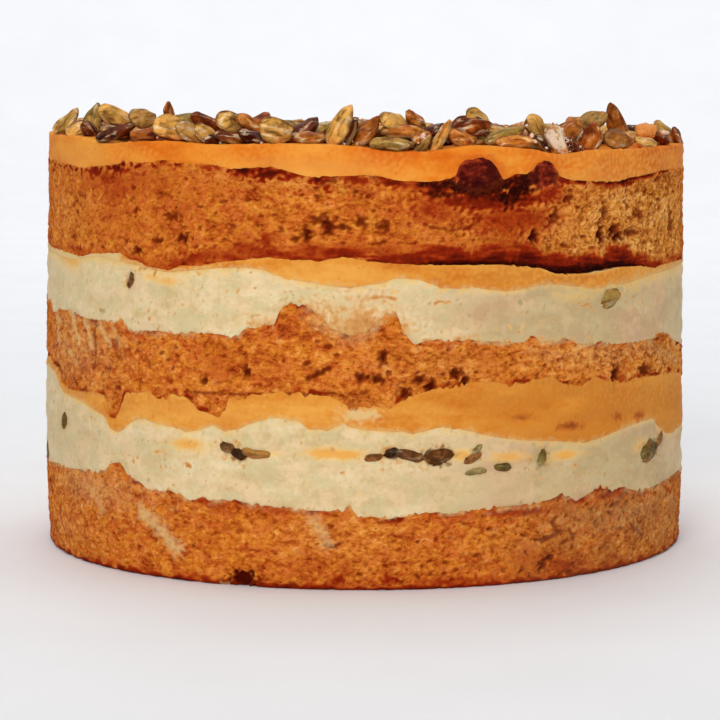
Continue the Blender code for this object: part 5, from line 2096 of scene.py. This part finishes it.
# ---- crumbs of set sugar, and an orange crumb of cake ----------------
def join_lumps(name, items, rng):
    """Uneven little lumps: (place, radius, tone)."""
    bm = bmesh.new()
    bmesh.ops.create_icosphere(bm, subdivisions=1, radius=1.0)
    ball = np.array([v.co[:] for v in bm.verts])
    bm.faces.ensure_lookup_table()
    faces = np.array([[v.index for v in f.verts] for f in bm.faces])
    bm.free()
    verts, tris, tone, local = [], [], [], []
    count = 0
    for place_mm, radius, shade in items:
        q = rng.normal(size=4)
        turn = np.array(Quaternion(q / np.linalg.norm(q)).to_matrix())
        shape = ball * (1.0 + rng.uniform(-0.28, 0.28, (len(ball), 1)))
        shape = shape * rng.uniform(0.65, 1.25, 3)
        v = (shape @ turn.T) * radius
        verts.append(v + place_mm)
        tris.append(faces + count)
        tone.append(np.full(len(v), shade))
        local.append(v + rng.uniform(-300, 300, 3))
        count += len(v)
    return build_mesh(name, np.concatenate(verts),
                      np.zeros((0, 4), np.int32), np.concatenate(tris),
                      {"tone": np.concatenate(tone),
                       "local": np.concatenate(local)})


def sugar_items(seeds, rng):
    items = []
    for seed in seeds:
        if seed["sugar"] < 0.15:
            continue
        number = int(6 + 42 * seed["sugar"] ** 1.5)
        v, q, t, rim = seed_shape(*seed["size"], rng, 14, 9)
        centre = v[rng.integers(0, len(v) - 2)]
        reach = 1.2 + 4.5 * seed["sugar"]
        for _ in range(number):
            p = v[rng.integers(0, len(v) - 2)] + rng.normal(0.0, 0.12, 3)
            if np.linalg.norm(p - centre) > reach:
                continue
            items.append((p @ np.asarray(seed["axes"]).T + seed["place"],
                          rng.uniform(0.10, 0.30), rng.uniform(0.0, 0.55)))
    return items


def crumb_material():
    g = Graph("sugar_and_crumbs")
    local = g.attr("local", vector=True)
    grain = g.noise(1.4, 2.0, 0.6, where=local)
    tone = g.math("ADD", g.attr("tone"),
                  g.math("MULTIPLY", g.math("SUBTRACT", grain, 0.5), 0.3))
    colour = g.ramp(tone, [
        (0.0, lin(246, 226, 204)), (0.3, lin(236, 190, 160)),
        (0.55, lin(206, 140, 88)), (0.75, lin(234, 146, 58)),
        (1.0, lin(120, 58, 22))])
    g.set(Base_Color=colour, Roughness=0.5, Normal=g.bump(grain, 0.2, 0.4))
    g.shader.inputs["Specular IOR Level"].default_value = 0.3
    g.shader.inputs["Subsurface Weight"].default_value = 0.2
    g.shader.inputs["Subsurface Radius"].default_value = (1.0, 0.6, 0.3)
    g.shader.inputs["Subsurface Scale"].default_value = 0.001
    return g.material


def all_seed_tree():
    verts, faces = [], []
    for seed in all_seeds:
        v, q, t, _ = seed_shape(*seed["size"], np.random.default_rng(1), 14,
                                9)
        base = len(verts)
        w = v @ np.asarray(seed["axes"]).T + seed["place"]
        verts += [tuple(p) for p in w.tolist()]
        faces += [tuple(base + i for i in f) for f in q.tolist()]
        faces += [tuple(base + i for i in f) for f in t.tolist()]
    return BVHTree.FromPolygons(verts, faces)


SEED_TREE = all_seed_tree()


def carried(px, py, radius):
    """The place of a crumb seen at a frame point: on the seed there, or
    else on the frosting."""
    way = sight(px, py)
    hit = SEED_TREE.ray_cast(Vector(EYE), Vector(way), 900.0)
    if hit[0] is not None and hit[1].length > 0.0:
        out = hit[1] if hit[1].dot(Vector(way)) < 0.0 else -hit[1]
        return np.array(hit[0] + out * (0.45 * radius))
    for step in np.linspace(555.0, 720.0, 1600):
        p = EYE + way * step / np.linalg.norm(way)
        if (math.hypot(p[0], p[1]) < 75.3
                and p[2] < frosting_height(p[0], p[1]) + 0.5 * radius):
            return p
    return None


crumb_rng = np.random.default_rng(57)
crumb_items = sugar_items(all_seeds, crumb_rng)
# the orange crumb at the right, and pink and brown ones along the edge
for px, py, ring, radius, tone in (
        (646, 131, 69.6, 2.0, 0.74), (641, 130, 69.2, 1.4, 0.72),
        (651, 131, 69.4, 1.5, 0.76), (643, 135, 69.8, 1.5, 0.75),
        (650, 136, 69.8, 1.5, 0.71), (646, 127, 69.0, 1.2, 0.68),
        (640, 134, 69.6, 0.9, 0.74), (653, 128, 69.2, 0.9, 0.70),
        (645, 140, 68.6, 2.0, 0.76), (650, 141, 68.6, 2.0, 0.78),
        (641, 141, 68.6, 1.8, 0.76), (646, 137, 67.2, 1.9, 0.74)):
    crumb_items.append((on_ring(px, py, ring), radius, tone))
for px, py, radius, tone in (
        (523, 125, 0.7, 0.35), (527, 126, 0.5, 0.25), (519, 126, 0.45, 0.5),
        (422, 137, 0.7, 0.3), (425, 139, 0.4, 0.2), (531, 137, 0.7, 0.15),
        (534, 141, 0.6, 0.25), (156, 137, 0.5, 0.3), (160, 139, 0.4, 0.2),
        (412, 147, 0.4, 0.3), (220, 143, 0.35, 0.1), (261, 143, 0.35, 0.1),
        (345, 144, 0.35, 0.1), (663, 134, 0.7, 0.2), (667, 133, 0.55, 0.3),
        (546, 148, 0.4, 0.15)):
    spot = carried(px, py, radius)
    if spot is not None:
        crumb_items.append((spot, radius, tone))
place(join_lumps("sugar_crumbs", crumb_items, crumb_rng), "seed_heap",
      "seeds", crumb_material())
print("seeds:", len(all_seeds), "crumbs:", len(crumb_items))


# ======================================================================
# Floor, light and camera
# ======================================================================
def studio():
    # floor that rises into a pale backdrop far behind
    profile = [(-1.6, 0.0), (1.3, 0.0)]
    for k in range(1, 13):
        a = math.radians(90.0 * k / 12)
        profile.append((1.3 + 0.7 * math.sin(a), 0.7 - 0.7 * math.cos(a)))
    profile.append((2.0, 3.0))
    verts, faces = [], []
    for y, z in profile:
        verts += [(-3.0, y, z), (3.0, y, z)]
    for k in range(len(profile) - 1):
        faces.append((2 * k, 2 * k + 1, 2 * k + 3, 2 * k + 2))
    mesh = bpy.data.meshes.new("floor")
    mesh.from_pydata(verts, [], faces)
    mesh.shade_smooth()
    floor = bpy.data.objects.new("floor", mesh)
    bpy.context.scene.collection.objects.link(floor)
    g = Graph("floor_pale")
    grain = g.noise(0.02, 2.0)
    g.set(Base_Color=g.ramp(grain, [(0.3, lin(240, 241, 244)),
                                    (0.7, lin(243, 244, 247))]),
          Roughness=0.7)
    floor.data.materials.append(g.material)

    world = bpy.data.worlds.new("studio")
    bpy.context.scene.world = world
    world.use_nodes = True
    back = world.node_tree.nodes["Background"]
    back.inputs["Color"].default_value = (0.99, 0.995, 1.0, 1.0)
    back.inputs["Strength"].default_value = 0.30

    def area(name, place, aim, size, power, colour=(1.0, 1.0, 1.0)):
        lamp = bpy.data.lights.new(name, "AREA")
        lamp.shape = "RECTANGLE"
        lamp.size, lamp.size_y = size
        lamp.energy = power
        lamp.color = colour
        obj = bpy.data.objects.new(name, lamp)
        bpy.context.scene.collection.objects.link(obj)
        obj.location = place
        aim = Vector(aim) - Vector(place)
        obj.rotation_euler = aim.to_track_quat("-Z", "Y").to_euler()
        return obj

    area("key", (-0.18, -1.20, 0.62), (0.0, 0.0, 0.05), (0.6, 0.5), 8.6,
         (1.0, 0.985, 0.96))
    area("side", (1.15, -0.15, 0.45), (0.0, 0.0, 0.05), (0.7, 0.7), 1.7,
         (1.0, 0.985, 0.96))
    area("above", (-0.1, 0.1, 1.2), (0.0, 0.0, 0.0), (0.9, 0.9), 4.0)
    area("back_wash", (0.0, 0.9, 1.6), (0.0, 2.0, 0.6), (2.4, 0.8), 20.0)

    scene = bpy.context.scene
    scene.view_settings.view_transform = "Standard"
    scene.view_settings.look = "None"
    scene.view_settings.exposure = 0.0
    scene.view_settings.gamma = 1.0

    cam = bpy.data.cameras.new("camera")
    cam.sensor_width = 36.0
    cam.sensor_fit = "HORIZONTAL"
    cam.lens = LENS_PX / 720.0 * 36.0
    cam.clip_start, cam.clip_end = 0.01, 20.0
    obj = bpy.data.objects.new("camera", cam)
    scene.collection.objects.link(obj)
    obj.location = [float(v) * MM for v in EYE]
    obj.rotation_euler = (math.pi / 2.0 - PITCH, 0.0, 0.0)
    scene.camera = obj


studio()
